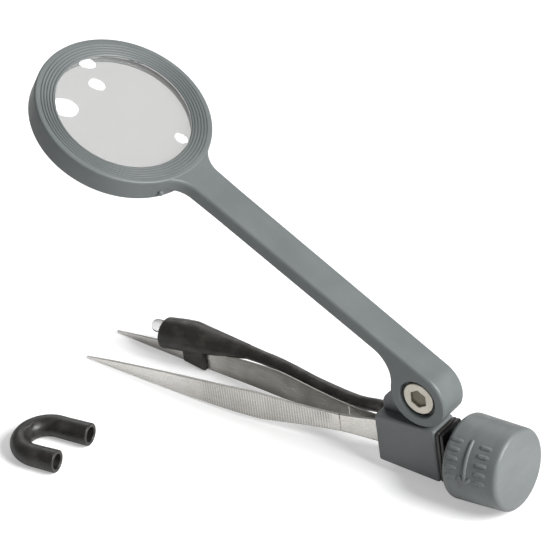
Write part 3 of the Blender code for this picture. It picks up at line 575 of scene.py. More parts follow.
def moulded_plastic(name, colour, light, dark, roughness, streak=(1, 1, 1)):
    """Moulded plastic: soft cloudy tone, fine grain, handling scuffs and a satin sheen."""
    material, tree, shader = new_material(name)
    clouds = spread(tree, grain(tree, 90, 3, streak), 0.35, 0.65, 0.0, 1.0)
    tone = mix_colours(tree, clouds, dark, colour)
    flecks = spread(tree, grain(tree, 2600, 2), 0.62, 0.78, 0.0, 0.5)
    tone = mix_colours(tree, flecks, tone, light)
    rub = spread(tree, grain(tree, 160, 4, streak), 0.3, 0.7, roughness - 0.07, roughness + 0.09)
    scuffs = spread(tree, grain(tree, 420, 2, (0.12, 1, 1)), 0.66, 0.7, 0.0, -1.0)
    fine = bump(tree, grain(tree, 5200, 2), 0.012 * MM)
    both = bump(tree, scuffs, 0.01 * MM, 0.5, fine)
    connect(tree, shader, {"Base Color": tone, "Roughness": rub, "Normal": both})
    return material


def soft_rubber(name, colour, dust_and_sheen, roughness):
    """Black rubber or soft tube: lighter patches that are partly dusty bloom and partly painted
    sheen, and a fine leathery grain.
    """
    material, tree, shader = new_material(name)
    bloom_and_sheen = spread(tree, grain(tree, 260, 4), 0.45, 0.75, 0.0, 0.8)
    tone = mix_colours(tree, bloom_and_sheen, colour, dust_and_sheen)
    lint = spread(tree, grain(tree, 3800, 1), 0.7, 0.76, 0.0, 0.6)
    tone = mix_colours(tree, lint, tone, tuple(3 * part for part in dust_and_sheen))
    rub = spread(tree, grain(tree, 500, 3), 0.3, 0.7, roughness - 0.12, roughness + 0.1)
    coarse = bump(tree, grain(tree, 900, 3), 0.03 * MM)
    fine = bump(tree, grain(tree, 4200, 2), 0.012 * MM, 1.0, coarse)
    connect(tree, shader, {"Base Color": tone, "Roughness": rub, "Normal": fine})
    return material


def brushed_metal(name, colour, dull, roughness, stretch):
    """Metal with brushing along one direction, faint handling haze and small pits."""
    material, tree, shader = new_material(name, metallic=1.0)
    haze = spread(tree, grain(tree, 140, 4), 0.35, 0.7, 0.0, 1.0)
    tone = mix_colours(tree, haze, colour, dull)
    lines = grain(tree, 3000, 3, stretch)
    tone = mix_colours(tree, spread(tree, lines, 0.3, 0.7, 0.0, 0.35), tone, dull)
    rub = spread(tree, lines, 0.3, 0.7, roughness - 0.08, roughness + 0.12)
    brushing = bump(tree, lines, 0.006 * MM)
    pits = spread(tree, grain(tree, 1500, 1), 0.72, 0.76, 0.0, -1.0)
    both = bump(tree, pits, 0.01 * MM, 0.6, brushing)
    connect(tree, shader, {"Base Color": tone, "Roughness": rub, "Normal": both})
    return material


def along_tongs(tree):
    return add(tree, "ShaderNodeSeparateXYZ", {"Vector": own_place(tree)}).outputs["X"]


def retint(material, share, colour):
    """Blend the base colour towards another one."""
    tree = material.node_tree
    base = tree.nodes["Principled BSDF"].inputs["Base Color"]
    tree.links.new(mix_colours(tree, share, base.links[0].from_socket, colour), base)
    return material


def paint_tip_lighter(material):
    """Make a blade's metal lighter towards its tip: painted light that brightens the tip beyond
    the steel's own colour.
    """
    tree = material.node_tree
    share = spread(tree, along_tongs(tree), TIP_LIGHT_FROM, TIP_LIGHT_TO, 0.0, 1.0)
    return retint(material, share, (0.92, 0.9, 0.86))


def ribbed_metal(name, colour, dull, roughness, stretch):
    """Brushed steel whose grip is ribbed, with painted shade: the ribs' hollows are coloured
    darker than their tops.
    """
    material = brushed_metal(name, colour, dull, roughness, stretch)
    tree = material.node_tree
    place = along_tongs(tree)
    phase = product(tree, place, 2 * math.pi / RIB_PITCH)
    wave = add(tree, "ShaderNodeMath", {0: phase}, operation="COSINE").outputs[0]
    hollow_shade = spread(tree, wave, 0.6, -0.6, 0.0, 0.75)
    start = spread(tree, place, RIBS_FROM, RIBS_FROM + 1.5 * RIB_FADE, 0.0, 1.0)
    end = spread(tree, place, RIBS_TO - RIB_FADE, RIBS_TO, 1.0, 0.0)
    share = product(tree, product(tree, start, end), hollow_shade)
    return retint(material, share, tuple(0.55 * part for part in colour))


def clear_plastic(name, colour, ior):
    """Clear moulded acrylic that lets light through to what lies behind it."""
    material, tree, shader = new_material(name, roughness=0.02)
    clouds = spread(tree, grain(tree, 60, 2), 0.3, 0.7, 0.0, 1.0)
    tone = mix_colours(tree, clouds, colour, tuple(0.98 * part for part in colour))
    smears = spread(tree, grain(tree, 220, 3), 0.55, 0.75, 0.015, 0.06)
    connect(tree, shader, {"Base Color": tone, "Roughness": smears, "IOR": ior,
                           "Transmission Weight": 1.0})
    return material


def lens_acrylic():
    """Magnifier lens: a soft grey cast, mirror gleams on the side that faces out only."""
    material = clear_plastic("lens_acrylic", (0.6, 0.6, 0.595), ACRYLIC_IOR)
    tree = material.node_tree
    leaving = add(tree, "ShaderNodeBsdfRefraction", {"IOR": ACRYLIC_IOR, "Roughness": 0.0})
    haze = add(tree, "ShaderNodeBsdfDiffuse", {"Color": (0.4, 0.4, 0.395, 1.0)})
    through = add(tree, "ShaderNodeBsdfTransparent", {"Color": (0.86, 0.86, 0.86, 1.0)})
    inside = add(tree, "ShaderNodeNewGeometry").outputs["Backfacing"]
    shadow = add(tree, "ShaderNodeLightPath").outputs["Is Shadow Ray"]
    look = tree.nodes["Principled BSDF"].outputs["BSDF"]
    for share, other in ((inside, leaving), (0.22, haze), (shadow, through)):
        mixer = add(tree, "ShaderNodeMixShader", {0: share, 1: look, 2: other.outputs["BSDF"]})
        look = mixer.outputs["Shader"]
    connect(tree, tree.nodes["Material Output"], {"Surface": look})
    return material


MATERIALS = {
    "arm": moulded_plastic("arm_grey", (0.132, 0.147, 0.147), (0.19, 0.21, 0.21),
                           (0.117, 0.131, 0.131), 0.45),
    # the same grey plastic as the arm, coloured lighter as painted light that lifts the shade on
    # the housing's front face
    "housing": moulded_plastic("housing_grey", (0.152, 0.164, 0.167), (0.205, 0.217, 0.217),
                               (0.13, 0.14, 0.143), 0.48),
    "cap": moulded_plastic("cap_grey", (0.152, 0.166, 0.165), (0.22, 0.235, 0.235),
                           (0.13, 0.142, 0.141), 0.42, (3.5, 0.5, 1.5)),
    "black": moulded_plastic("black_plastic", (0.018, 0.018, 0.018), (0.06, 0.06, 0.06),
                             (0.012, 0.012, 0.012), 0.4),
    "rubber": soft_rubber("black_rubber", (0.026, 0.0245, 0.0215), (0.072, 0.067, 0.06), 0.4),
    "tube": soft_rubber("guard_tube", (0.015, 0.014, 0.013), (0.045, 0.042, 0.04), 0.42),
    "blade": paint_tip_lighter(ribbed_metal("blade_steel", (0.8, 0.775, 0.735), (0.66, 0.64, 0.6), 0.24,
                                     (0.03, 1, 1))),
    # pale matt colour on the blades' upward faces: a painted highlight along their lit top edge
    "blade_top_painted_light": moulded_plastic("blade_top_painted_light", (0.52, 0.51, 0.48), (0.7, 0.68, 0.64),
                                  (0.42, 0.41, 0.385), 0.4, (0.05, 1, 1)),
    # rougher steel for the faces turned to the other blade, coloured darker as painted shade
    # between the blades
    "blade_inside_shaded": paint_tip_lighter(brushed_metal("blade_inside_shaded", (0.5, 0.485, 0.455),
                                             (0.36, 0.35, 0.325), 0.34, (0.03, 1, 1))),
    "screw": brushed_metal("nickel", (0.62, 0.59, 0.52), (0.48, 0.45, 0.39), 0.34, (1, 0.2, 1)),
    # dull brown for the deep faces of the hex socket: oxide in the recess, darkened further as
    # painted shade
    "socket": moulded_plastic("socket_oxide_and_shade", (0.2, 0.175, 0.125), (0.34, 0.3, 0.22),
                              (0.12, 0.1, 0.07), 0.4),
    "steel": brushed_metal("plain_steel", (0.62, 0.61, 0.6), (0.45, 0.44, 0.43), 0.32,
                           (1, 1, 0.1)),
    "brass": brushed_metal("brass", (0.8, 0.6, 0.3), (0.55, 0.38, 0.17), 0.32, (1, 1, 0.1)),
    "white": moulded_plastic("white_sleeve", (0.72, 0.72, 0.69), (0.85, 0.85, 0.83),
                             (0.64, 0.64, 0.61), 0.5),
    "lens": lens_acrylic(),
    "lens_edge": clear_plastic("lens_edge", (0.85, 0.85, 0.84), ACRYLIC_IOR),
    "bulb": clear_plastic("bulb_epoxy", (0.95, 0.95, 0.95), EPOXY_IOR),
}


# ---- shapes shared with the blades

def smooth_min(a, b, rounding):
    return (a + b - math.sqrt((a - b) ** 2 + 4 * rounding ** 2)) / 2


def blade_outer(x):
    """Distance of a blade's outer face from the middle plane."""
    opening = ROOT_SPREAD + SPREAD_SLOPE * max(0.0, SPREAD_START - x)
    return smooth_min(opening, BLADE_SPREAD + BLADE_SPLAY * (BELLY_X - x), SPREAD_ROUNDING)


def blade_height(x):
    """Full height of a blade: fine tip, belly, waist and mouth."""
    if x < BELLY_X:
        t = (x - TIP_X) / (BELLY_X - TIP_X)
        return between(TIP_HEIGHT, BELLY_HEIGHT, 1 - (1 - max(0.0, t)) ** BELLY_POWER)
    if x < WAIST_X:
        t = (x - BELLY_X) / (WAIST_X - BELLY_X)
        return between(BELLY_HEIGHT, WAIST_HEIGHT, math.sin(t * math.pi / 2) ** WAIST_POWER)
    t = min(1.0, (x - WAIST_X) / (HOUSING_FRONT - WAIST_X))
    return between(WAIST_HEIGHT, MOUTH_HEIGHT, t * t * (3 - 2 * t))


def blade_thickness(x):
    return BLADE_THICKNESS * min(1.0, between(TIP_SHARE, 1, (x - TIP_X) / TAPER_LENGTH))


# ---- magnifier

def rounded_section(x, half_width, low, high, corner, steps=5):
    corner = min(corner, 0.45 * (high - low))
    section = []
    for side, edge, first in ((1, high, 0), (-1, high, 90), (-1, low, 180), (1, low, 270)):
        centre_y = side * (half_width - corner)
        centre_z = edge - corner if edge == high else edge + corner
        for y, z in round_corner((centre_y, centre_z), corner, first, first + 90, steps):
            section.append((x, y, z))
    return section


def ring_fillet_centre():
    fillet_y = ARM_HALF_RING + RING_FILLET
    return math.sqrt((RING_RADIUS + RING_FILLET) ** 2 - fillet_y ** 2), fillet_y


def arm_half_width(reach):
    """Half width at a distance from the pivot, flaring into the ring with a fillet."""
    plain = between(ARM_HALF_ROOT, ARM_HALF_RING, max(0.0, reach / ARM_LENGTH))
    to_centre = ARM_LENGTH - reach
    fillet_x, fillet_y = ring_fillet_centre()
    if to_centre >= fillet_x:
        return plain
    return fillet_y - math.sqrt(RING_FILLET ** 2 - (fillet_x - to_centre) ** 2)


def fork_fillet_centre():
    """Centre of the fillet between the fork and the arm's underside, from the pivot."""
    below = ARM_UNDER - FORK_FILLET
    return math.sqrt((FORK_RADIUS + FORK_FILLET) ** 2 - below ** 2), below


def arm_underside(reach):
    """Height of the underside: the round fork, then a fillet up to the flat arm."""
    centre_x, centre_z = fork_fillet_centre()
    touch = centre_x * FORK_RADIUS / (FORK_RADIUS + FORK_FILLET)
    if reach < touch:
        return -math.sqrt(max(0.0, FORK_RADIUS ** 2 - reach ** 2))
    if reach < centre_x:
        return centre_z + math.sqrt(FORK_FILLET ** 2 - (centre_x - reach) ** 2)
    return ARM_UNDER


def arm_top(reach):
    if reach > 0:
        return FORK_RADIUS
    return math.sqrt(FORK_RADIUS ** 2 - reach ** 2)


def arm_stations():
    """Distances from the pivot, close together where the outline turns."""
    stations = [-FORK_RADIUS * math.cos(math.radians(angle)) for angle in range(4, 90, 4)]
    curve_end, _ = fork_fillet_centre()
    stations += evenly(0, curve_end, 30)
    stations += evenly(24 * MM, 72 * MM, 6)
    fillet_x, _ = ring_fillet_centre()
    overlap = 0.05 * MM
    tangent_x = fillet_x * (RING_RADIUS - overlap) / (RING_RADIUS + RING_FILLET)
    return stations + evenly(ARM_LENGTH - fillet_x, ARM_LENGTH - tangent_x, 16)


def at_lens(mesh):
    """Move a mesh from the pivot to the lens axis."""
    mesh.transform(Matrix.Translation((-ARM_LENGTH, 0, 0)))
    return mesh


def ring_profile():
    """Outline of the lens ring: a smooth rim, then fine grooves down to the lens."""
    side = RING_RADIUS - RING_EDGE
    profile = round_corner((side, RING_UNDER + RING_EDGE), RING_EDGE, -90, 0, 5)
    profile += round_corner((side, RING_TOP - RING_EDGE), RING_EDGE, 0, 90, 5)
    tread = (RING_FACE - RING_APERTURE) / RING_GROOVES
    for number in range(RING_GROOVES):
        radius = RING_FACE - number * tread
        height = RING_TOP - RING_FALL * number / RING_GROOVES
        shoulder = height - 0.1 * RING_GROOVE_DEPTH
        profile += [(radius + 0.06 * tread, height), (radius, shoulder),
                    (radius - 0.2 * tread, height - RING_GROOVE_DEPTH),
                    (radius - 0.4 * tread, shoulder), (radius - 0.46 * tread, height)]
    last = RING_TOP - RING_FALL
    profile += [(RING_APERTURE + RING_NOSE, last), (RING_APERTURE, last - RING_NOSE),
                (RING_APERTURE, RING_LIP), (RING_BORE, RING_LIP), (RING_BORE, RING_UNDER)]
    return profile


def fork_slot_outline():
    """Side outline of the slot in the fork: a round pocket, open underneath."""
    pocket = round_corner((0, 0), FORK_SLOT_RADIUS, FORK_SLOT_REAR, FORK_SLOT_FRONT + 360, 48)
    return pocket + round_corner((0, 0), 2 * FORK_RADIUS, FORK_SLOT_FRONT, FORK_SLOT_REAR, 4)


def build_arm():
    sections = [rounded_section(-reach, arm_half_width(reach), arm_underside(reach),
                                arm_top(reach), ARM_CORNER) for reach in arm_stations()]
    arm = as_object("arm_and_ring", loft(sections), MAGNIFIER)
    combine(arm, at_lens(turned(ring_profile(), "Z", 192)), "UNION")
    combine(arm, prism(fork_slot_outline(), FORK_SLOT_HALF), "DIFFERENCE")
    combine(arm, hinge_room(), "DIFFERENCE")
    gate = bmesh.new()
    bmesh.ops.create_uvsphere(gate, u_segments=24, v_segments=16, radius=GATE_RADIUS)
    gate.transform(Matrix.Translation((GATE_REACH * math.cos(GATE_ANGLE),
                                       GATE_REACH * math.sin(GATE_ANGLE),
                                       RING_UNDER + GATE_HEIGHT)))
    combine(arm, at_lens(gate), "UNION")
    finish_piece(arm, "magnifier", MATERIALS["arm"], "magnifier_arm", slot="grey_plastic")


def hinge_room():
    """Hole through the fork for the screw, with a recess at either end."""
    wide = 2 * HOUSING_HALF
    hole = SCREW_SHANK + GAP
    lip = ARM_HALF_ROOT - RECESS_EASE
    flare = RECESS_RADIUS + RECESS_EASE
    half = [(hole, RECESS_FLOOR), (RECESS_RADIUS, RECESS_FLOOR), (RECESS_RADIUS, lip),
            (flare, ARM_HALF_ROOT), (flare, wide), (0, wide)]
    room = turned([(radius, -y) for radius, y in reversed(half)] + half, "Y", 80)
    room.transform(Matrix.Rotation(math.pi / 80, 4, "Y"))
    return room


def build_lens():
    """Convex lens with a small step up to its dome."""
    arc = [math.sin(math.radians(angle)) for angle in range(0, 91, 5)]
    bottom = LENS_TOP - LENS_EDGE
    dome = RING_APERTURE - RING_NOSE
    profile = [(dome * s, LENS_TOP + LENS_STEP + LENS_RISE * (1 - s * s)) for s in arc]
    profile += [(dome, LENS_TOP), (LENS_RADIUS, LENS_TOP)]
    profile += [(LENS_RADIUS * s, bottom - LENS_BULGE * (1 - s * s)) for s in reversed(arc)]
    lens = as_object("lens", at_lens(turned(profile, "Z", 128)), MAGNIFIER)
    finish_piece(lens, "magnifier", MATERIALS["lens"], "magnifier_lens", slot="lens_acrylic")
    lens.data.materials.append(MATERIALS["lens_edge"])
    for face in lens.data.polygons:
        if abs(face.normal.z) < 0.3:
            face.material_index = 1


def build_retainer():
    """Ring that holds the lens from below, with two notches for the key."""
    outer = RING_BORE - GAP
    inner = outer - RETAINER_WIDTH
    top = LENS_TOP - LENS_EDGE - LENS_BULGE * (1 - (inner / LENS_RADIUS) ** 2) - GAP
    low = top - RETAINER_HEIGHT
    edge = RETAINER_EDGE
    profile = [(outer, low), (outer, top), (inner + edge, top), (inner, top - edge),
               (inner, low + edge), (inner + edge, low)]
    holder = as_object("lens_retainer", at_lens(turned(profile, "Z", 128)), MAGNIFIER)
    for angle in NOTCH_ANGLES:
        notch = box((-NOTCH_HALF, inner - OVERSHOOT, low - OVERSHOOT),
                    (NOTCH_HALF, outer, low + NOTCH_DEPTH))
        notch.transform(Matrix.Rotation(math.radians(angle), 4, "Z"))
        combine(holder, at_lens(notch), "DIFFERENCE")
    finish_piece(holder, "magnifier", MATERIALS["arm"], "lens_retaining_ring",
                 slot="grey_plastic")


def build_screw():
    """Sunk screw with a hexagon socket."""
    profile = [(0, -SCREW_FACE)]
    for angle in (0, 20, 40, 60, 90):
        turn = math.radians(angle)
        profile.append((SCREW_RADIUS - SCREW_EDGE * (1 - math.sin(turn)),
                        -SCREW_FACE + SCREW_EDGE * (1 - math.cos(turn))))
    profile += [(SCREW_RADIUS, -SCREW_INNER), (SCREW_SHANK, -SCREW_INNER),
                (SCREW_SHANK, SCREW_FACE - SHANK_EDGE), (SCREW_SHANK - SHANK_EDGE, SCREW_FACE),
                (0, SCREW_FACE)]
    screw = as_object("screw", turned(profile, "Y", 96), MAGNIFIER)
    corner = HEX_FLATS / 2 / math.cos(math.pi / 6)
    mouth = corner + HEX_FLARE
    outside = -SCREW_FACE - OVERSHOOT
    floor = -SCREW_FACE + HEX_DEPTH
    socket = turned([(0, outside), (mouth, outside), (mouth, -SCREW_FACE - HEX_FLARE_OUTSIDE),
                     (corner, HEX_FLARE_DEPTH - SCREW_FACE), (corner, floor), (0, floor)], "Y", 6)
    combine(screw, socket, "DIFFERENCE")
    finish_piece(screw, "magnifier", MATERIALS["screw"], "pivot_screw", slot="steel")
    screw.data.materials.append(MATERIALS["socket"])
    # faces deeper than HEX_SHADE_DEPTH take the dull brown: oxide and painted shade in the recess
    socket_top = HEX_SHADE_DEPTH - SCREW_FACE
    for face in screw.data.polygons:
        centre = face.center
        if math.hypot(centre.x, centre.z) < corner and socket_top < centre.y < 0:
            face.material_index = 1


def build_nut():
    """Hexagon nut on the far side, with its outer corners turned off."""
    bore = SCREW_SHANK + GAP
    nut = as_object("nut", turned([(bore, SCREW_INNER), (NUT_CORNER, SCREW_INNER),
                                   (NUT_CORNER, SCREW_FACE), (bore, SCREW_FACE)], "Y", 6),
                    MAGNIFIER)
    inside = SCREW_INNER - OVERSHOOT
    outside = SCREW_FACE + OVERSHOOT
    cone = turned([(0, inside), (NUT_CONE, inside), (NUT_CONE, SCREW_FACE - NUT_EDGE),
                   (NUT_FACE, SCREW_FACE), (NUT_FACE, outside), (0, outside)], "Y", 64)
    combine(nut, cone, "INTERSECT")
    finish_piece(nut, "magnifier", MATERIALS["screw"], "pivot_nut", slot="steel")


# ---- housing

def housing_underside(x):
    middle = (HOUSING_FRONT + HOUSING_REAR) / 2
    return HOUSING_UNDER - (x - middle) * math.tan(PITCH)


def tongue_outline():
    """Side outline of the hinge tongue: a round boss on a foot that flares forward."""
    boss = round_corner((PIVOT_X, PIVOT_Z), TONGUE_RADIUS, TONGUE_REAR, TONGUE_FRONT, 60)
    knots = [(PIVOT_X + x * MM, PIVOT_Z + z * MM, 0) for x, z in TONGUE_FLARE]
    flare = [(point.x, point.y) for point in curve_through(knots, 6)[1:]]
    front = HOUSING_FRONT + HOUSING_EDGE
    rear = PIVOT_X + TONGUE_FOOT_REAR
    sunk = HOUSING_TOP - TONGUE_SUNK
    return boss + flare + [(front, HOUSING_TOP), (front, sunk), (rear, sunk), (rear, HOUSING_TOP)]


def build_housing():
    corners = [(HOUSING_FRONT, housing_underside(HOUSING_FRONT)), (HOUSING_FRONT, HOUSING_TOP),
               (HOUSING_REAR, HOUSING_TOP), (HOUSING_REAR, housing_underside(HOUSING_REAR))]
    housing = as_object("housing", prism(corners, HOUSING_HALF), TONGS)
    round_edges(housing, HOUSING_EDGE, 6)
    tongue = rounded_prism(tongue_outline(), TONGUE_HALF, TONGUE_EASE, 3, 60)
    lead = (0, LEAD_Y, LEAD_Z)
    front = HOUSING_FRONT - OVERSHOOT
    combine(housing, tongue, "UNION")
    holes = [rod(SCREW_SHANK + BUSH_ROOM, -HOUSING_HALF, HOUSING_HALF, "Y",
                 (PIVOT_X, 0, PIVOT_Z)),
             box((front, -BLADE_SLOT_HALF, -BLADE_SLOT_REACH),
                 (ROOT_END + GAP, BLADE_SLOT_HALF, BLADE_SLOT_REACH))]
    holes += [rod(PIN_HOLE, -PIN_POCKET, PIN_POCKET, "Y", (x, 0, 0)) for x in PIN_X]
    holes += [rod(SLEEVE_RADIUS + GAP, front, SLEEVE_REAR + GAP, "X", lead),
              box((CHAMBER_FRONT, -CHAMBER_REACH, -CHAMBER_REACH),
                  (HOUSING_REAR + OVERSHOOT, LEAD_Y + CHAMBER_REACH, LEAD_Z + CHAMBER_REACH)),
              rod(LEAD_HOLE, SLEEVE_REAR, OVERSHOOT, "X", lead)]
    for hole in holes:
        combine(housing, hole, "DIFFERENCE")
    finish_piece(housing, "tongs_body", MATERIALS["housing"], "housing_body",
                 slot="housing_grey")


def rear_plate(start, end):
    """Rounded plate across the rear of the housing, with its own edges eased."""
    wide = HOUSING_HALF - PLATE_INSET
    low = housing_underside(HOUSING_REAR) + PLATE_INSET
    high = HOUSING_TOP - PLATE_INSET
    stations = ((start, PLATE_EASE), (start + PLATE_EASE, 0), (end - PLATE_EASE, 0),
                (end, PLATE_EASE))
    return loft([rounded_section(at, wide - less, low + less, high - less, HOUSING_EDGE)
                 for at, less in stations])


def build_neck():
    """Gasket behind the housing, and the neck with the seat that the cap turns on."""
    x = HOUSING_REAR + GAP
    gasket = as_object("gasket", rear_plate(x, x + GASKET_THICKNESS), TONGS)
    combine(gasket, rod(LEAD_BORE, 0, CAP_FRONT, "X"), "DIFFERENCE")
    finish_piece(gasket, "tongs_body", MATERIALS["rubber"], "housing_gasket",
                 slot="black_rubber")
    x += GASKET_THICKNESS + GAP
    neck = as_object("neck", rear_plate(x, x + PLATE_THICKNESS), TONGS)
    front = CAP_FRONT + GAP
    rear = front + SEAT_THICKNESS
    base = x + PLATE_THICKNESS / 2
    profile = [(0, base), (NECK_RADIUS, base), (NECK_RADIUS, front - SEAT_FILLET),
               (NECK_RADIUS + 0.3 * SEAT_FILLET, front - 0.3 * SEAT_FILLET),
               (NECK_RADIUS + SEAT_FILLET, front), (SEAT_RADIUS - SEAT_EDGE, front),
               (SEAT_RADIUS, front + SEAT_EDGE), (SEAT_RADIUS, rear - SEAT_EDGE),
               (SEAT_RADIUS - SEAT_EDGE, rear), (0, rear)]
    combine(neck, turned(profile, "X", 96), "UNION")
    combine(neck, rod(LEAD_BORE, x - OVERSHOOT, rear + OVERSHOOT, "X"), "DIFFERENCE")
    finish_piece(neck, "tongs_body", MATERIALS["black"], "battery_neck", slot="black_plastic")


# ---- battery cap

def on_cap(x, degrees):
    """Point just under the cap's side."""
    share = (x - CAP_FRONT) / (CAP_REAR - CAP_FRONT)
    radius = between(CAP_FRONT_RADIUS, CAP_REAR_RADIUS, share) - MARK_SINK
    angle = math.radians(degrees)
    return Vector((x, -radius * math.sin(angle), radius * math.cos(angle)))


def bead(places):
    """Low round bead on the cap's side, with thinner ends."""
    points = [on_cap(x, degrees) for x, degrees in places]
    last = len(points) - 1
    radii = [MARK_RADIUS * (0.7 if i in (0, last) else 1.0) for i in range(last + 1)]
    return swept(points, radii, 16)


def cap_marks():
    """A turning arrow round the cap, with a row of ticks on either side."""
    beads = [bead([(ARROW_X, angle) for angle in evenly(ARROW_FROM, ARROW_TO, 24)])]
    for way in (-1, 1):
        beads.append(bead([(ARROW_X + way * ARROW_HEAD * back, ARROW_TO - ARROW_HEAD_ANGLE * back)
                           for back in evenly(1, 0, 6)]))
    for row in TICK_ROWS:
        for angle in TICK_ANGLES:
            beads.append(bead([(x, angle) for x in evenly(row - TICK_HALF, row + TICK_HALF, 6)]))
    return beads


def build_cap():
    profile = [(0, CAP_REAR)]
    profile += round_corner((CAP_REAR_RADIUS - CAP_REAR_EDGE, CAP_REAR - CAP_REAR_EDGE),
                            CAP_REAR_EDGE, 90, 0, 8)
    profile += round_corner((CAP_FRONT_RADIUS - CAP_FRONT_EDGE, CAP_FRONT + CAP_FRONT_EDGE),
                            CAP_FRONT_EDGE, 0, -90, 10)
    inner_end = CAP_REAR - CAP_WALL
    profile += [(CAP_BORE + CAP_MOUTH_EDGE, CAP_FRONT), (CAP_BORE, CAP_FRONT + CAP_MOUTH_EDGE),
                (CAP_BORE, inner_end - CAP_BORE_EDGE), (CAP_BORE - CAP_BORE_EDGE, inner_end),
                (0, inner_end)]
    cap = as_object("cap", turned(profile, "X", 160), TONGS)
    for mark in cap_marks():
        combine(cap, mark, "UNION")
    finish_piece(cap, "cap", MATERIALS["cap"], "battery_cap", slot="grey_plastic")


# ---- blades

def rib_relief(x):
    """How far the ribbed grip stands back at x: fine upright grooves that fade at both ends."""
    if not RIBS_FROM < x < RIBS_TO:
        return 0.0
    fade = min(1.0, (x - RIBS_FROM) / RIB_FADE, (RIBS_TO - x) / RIB_FADE)
    wave = 0.5 - 0.5 * math.cos(2 * math.pi * x / RIB_PITCH)
    return RIB_DEPTH * fade * wave


def blade_section(x, side, ribbed):
    """Upright section of a blade, with eased edges and a ribbed outer face."""
    outer = blade_outer(x)
    thick = blade_thickness(x)
    half = blade_height(x) / 2
    inner = outer - thick
    ease = min(BLADE_EASE, 0.3 * half)
    rib = outer - (rib_relief(x) if ribbed else 0.0)
    edge = half - min(RIB_MARGIN, 0.3 * half)
    points = [(inner + ease, half), (outer - ease, half), (outer, half - ease), (outer, edge),
              (rib, edge - RIB_EDGE), (rib, RIB_EDGE - edge), (outer, -edge),
              (outer, ease - half), (outer - ease, -half), (inner + ease, -half),
              (inner, ease - half), (inner, half - ease)]
    return [(x, side * y, z) for y, z in points]


def build_blades():
    step = RIB_PITCH / 8
    count = int((RIBS_TO - RIBS_FROM) / step)
    stations = evenly(TIP_X, RIBS_FROM, 60)[:-1]
    stations += [RIBS_FROM + step * i for i in range(count)]
    stations += evenly(RIBS_TO, WAIST_X - GAP / 2, 6)
    root_stations = evenly(WAIST_X + GAP / 2, ROOT_END, 40)
    for name, side in (("near", -1), ("far", 1)):
        blade = as_object(f"blade_{name}",
                          loft([blade_section(x, side, True) for x in stations]), TONGS)
        finish_piece(blade, f"{name}_blade_body", MATERIALS["blade"], f"{name}_blade",
                     sharp=50, slot="steel")
        root = as_object(f"root_{name}",
                         loft([blade_section(x, side, False) for x in root_stations]), TONGS)
        for x in PIN_X:
            combine(root, rod(PIN_HOLE, -PIN_POCKET - GAP, PIN_POCKET + GAP, "Y", (x, 0, 0)),
                    "DIFFERENCE")
        finish_piece(root, "tongs_body", MATERIALS["blade"], f"{name}_blade_root",
                     sharp=50, slot="steel")
        for item in (blade, root):
            item.data.materials.append(MATERIALS["blade_inside_shaded"])
            item.data.materials.append(MATERIALS["blade_top_painted_light"])
            # faces turned to the other blade take the painted-shade steel; upward faces take the
            # painted highlight of the top edge
            for face in item.data.polygons:
                if side * face.normal.y < -0.7:
                    face.material_index = 1
                elif face.normal.z > 0.3:
                    face.material_index = 2


# ---- light

def pod_section(share):
    """Round section of the lamp pod: full at the front, tapering to the lead."""
    x = between(POD_FRONT, POD_REAR, share)
    swell = math.sin(min(1.0, share / POD_SWELL) * math.pi / 2)
    taper = max(0.0, (share - POD_SWELL) / (1 - POD_SWELL))
    radius = POD_RADIUS.dot((1, swell, taper))
    depth = x - POD_FRONT
    if depth < POD_RIM:
        radius -= POD_RIM * (1 - math.sqrt(1 - (1 - depth / POD_RIM) ** 2))
    centre_y = between(POD_Y_FRONT, POD_Y_REAR, share)
    centre_z = POD_Z.dot((1, swell, taper))
    return [(x, centre_y + y, centre_z + z) for y, z in circle(radius, 64)]


def blade_channel():
    """Room for the far blade through the lamp's saddle."""
    sections = []
    for x in evenly(CHANNEL_FRONT, CHANNEL_REAR, 40):
        outer = blade_outer(x) + BLADE_CLEARANCE
        inner = blade_outer(x) - BLADE_THICKNESS - BLADE_CLEARANCE
        half = blade_height(x) / 2 + BLADE_CLEARANCE
        sections.append([(x, outer, -half), (x, outer, half), (x, inner, half),
                         (x, inner, -half)])
    return loft(sections)


def build_pod():
    """Lamp pod with a leg that clips on to the far blade."""
    shares = list(POD_RIM_SHARES) + evenly(POD_RIM_SHARES[-1], 1, 40)[1:]
    pod = as_object("lamp_pod", loft([pod_section(share) for share in shares]), TONGS)
    middle = blade_outer((LEG_FRONT + LEG_REAR) / 2) - BLADE_THICKNESS / 2
    outline = [(LEG_FRONT, LEG_FRONT_FOOT), (LEG_REAR - LEG_FLAT, LEG_REAR_FOOT),
               (LEG_REAR, LEG_REAR_FOOT), (LEG_REAR, LEG_TOP), (LEG_FRONT, LEG_TOP)]
    leg = rounded_prism(outline, LEG_HALF, LEG_EDGE, 4)
    leg.transform(Matrix.Translation((0, middle, 0)))
    combine(pod, leg, "UNION")
    combine(pod, blade_channel(), "DIFFERENCE")
    seat = rod(BULB_RADIUS + BULB_CLEARANCE, POD_FRONT - OVERSHOOT, POD_FRONT + BULB_SEAT, "X",
               (0, BULB_Y, BULB_Z))
    combine(pod, seat, "DIFFERENCE")
    finish_piece(pod, "far_blade_body", MATERIALS["rubber"], "led_holder", sharp=40,
                 slot="black_rubber")


def build_bulb():
    middle = POD_FRONT - BULB_REACH + BULB_RADIUS
    back = POD_FRONT + BULB_BACK
    profile = [(0, middle - BULB_RADIUS)] + round_corner((0, middle), BULB_RADIUS, -84, 0, 14)
    profile += [(BULB_RADIUS, back), (0, back)]
    bulb = turned(profile, "X", 64)
    bulb.transform(Matrix.Translation((0, BULB_Y, BULB_Z)))
    bulb = as_object("bulb", bulb, TONGS)
    finish_piece(bulb, "far_blade_body", MATERIALS["bulb"], "led_bulb", slot="lens_acrylic")


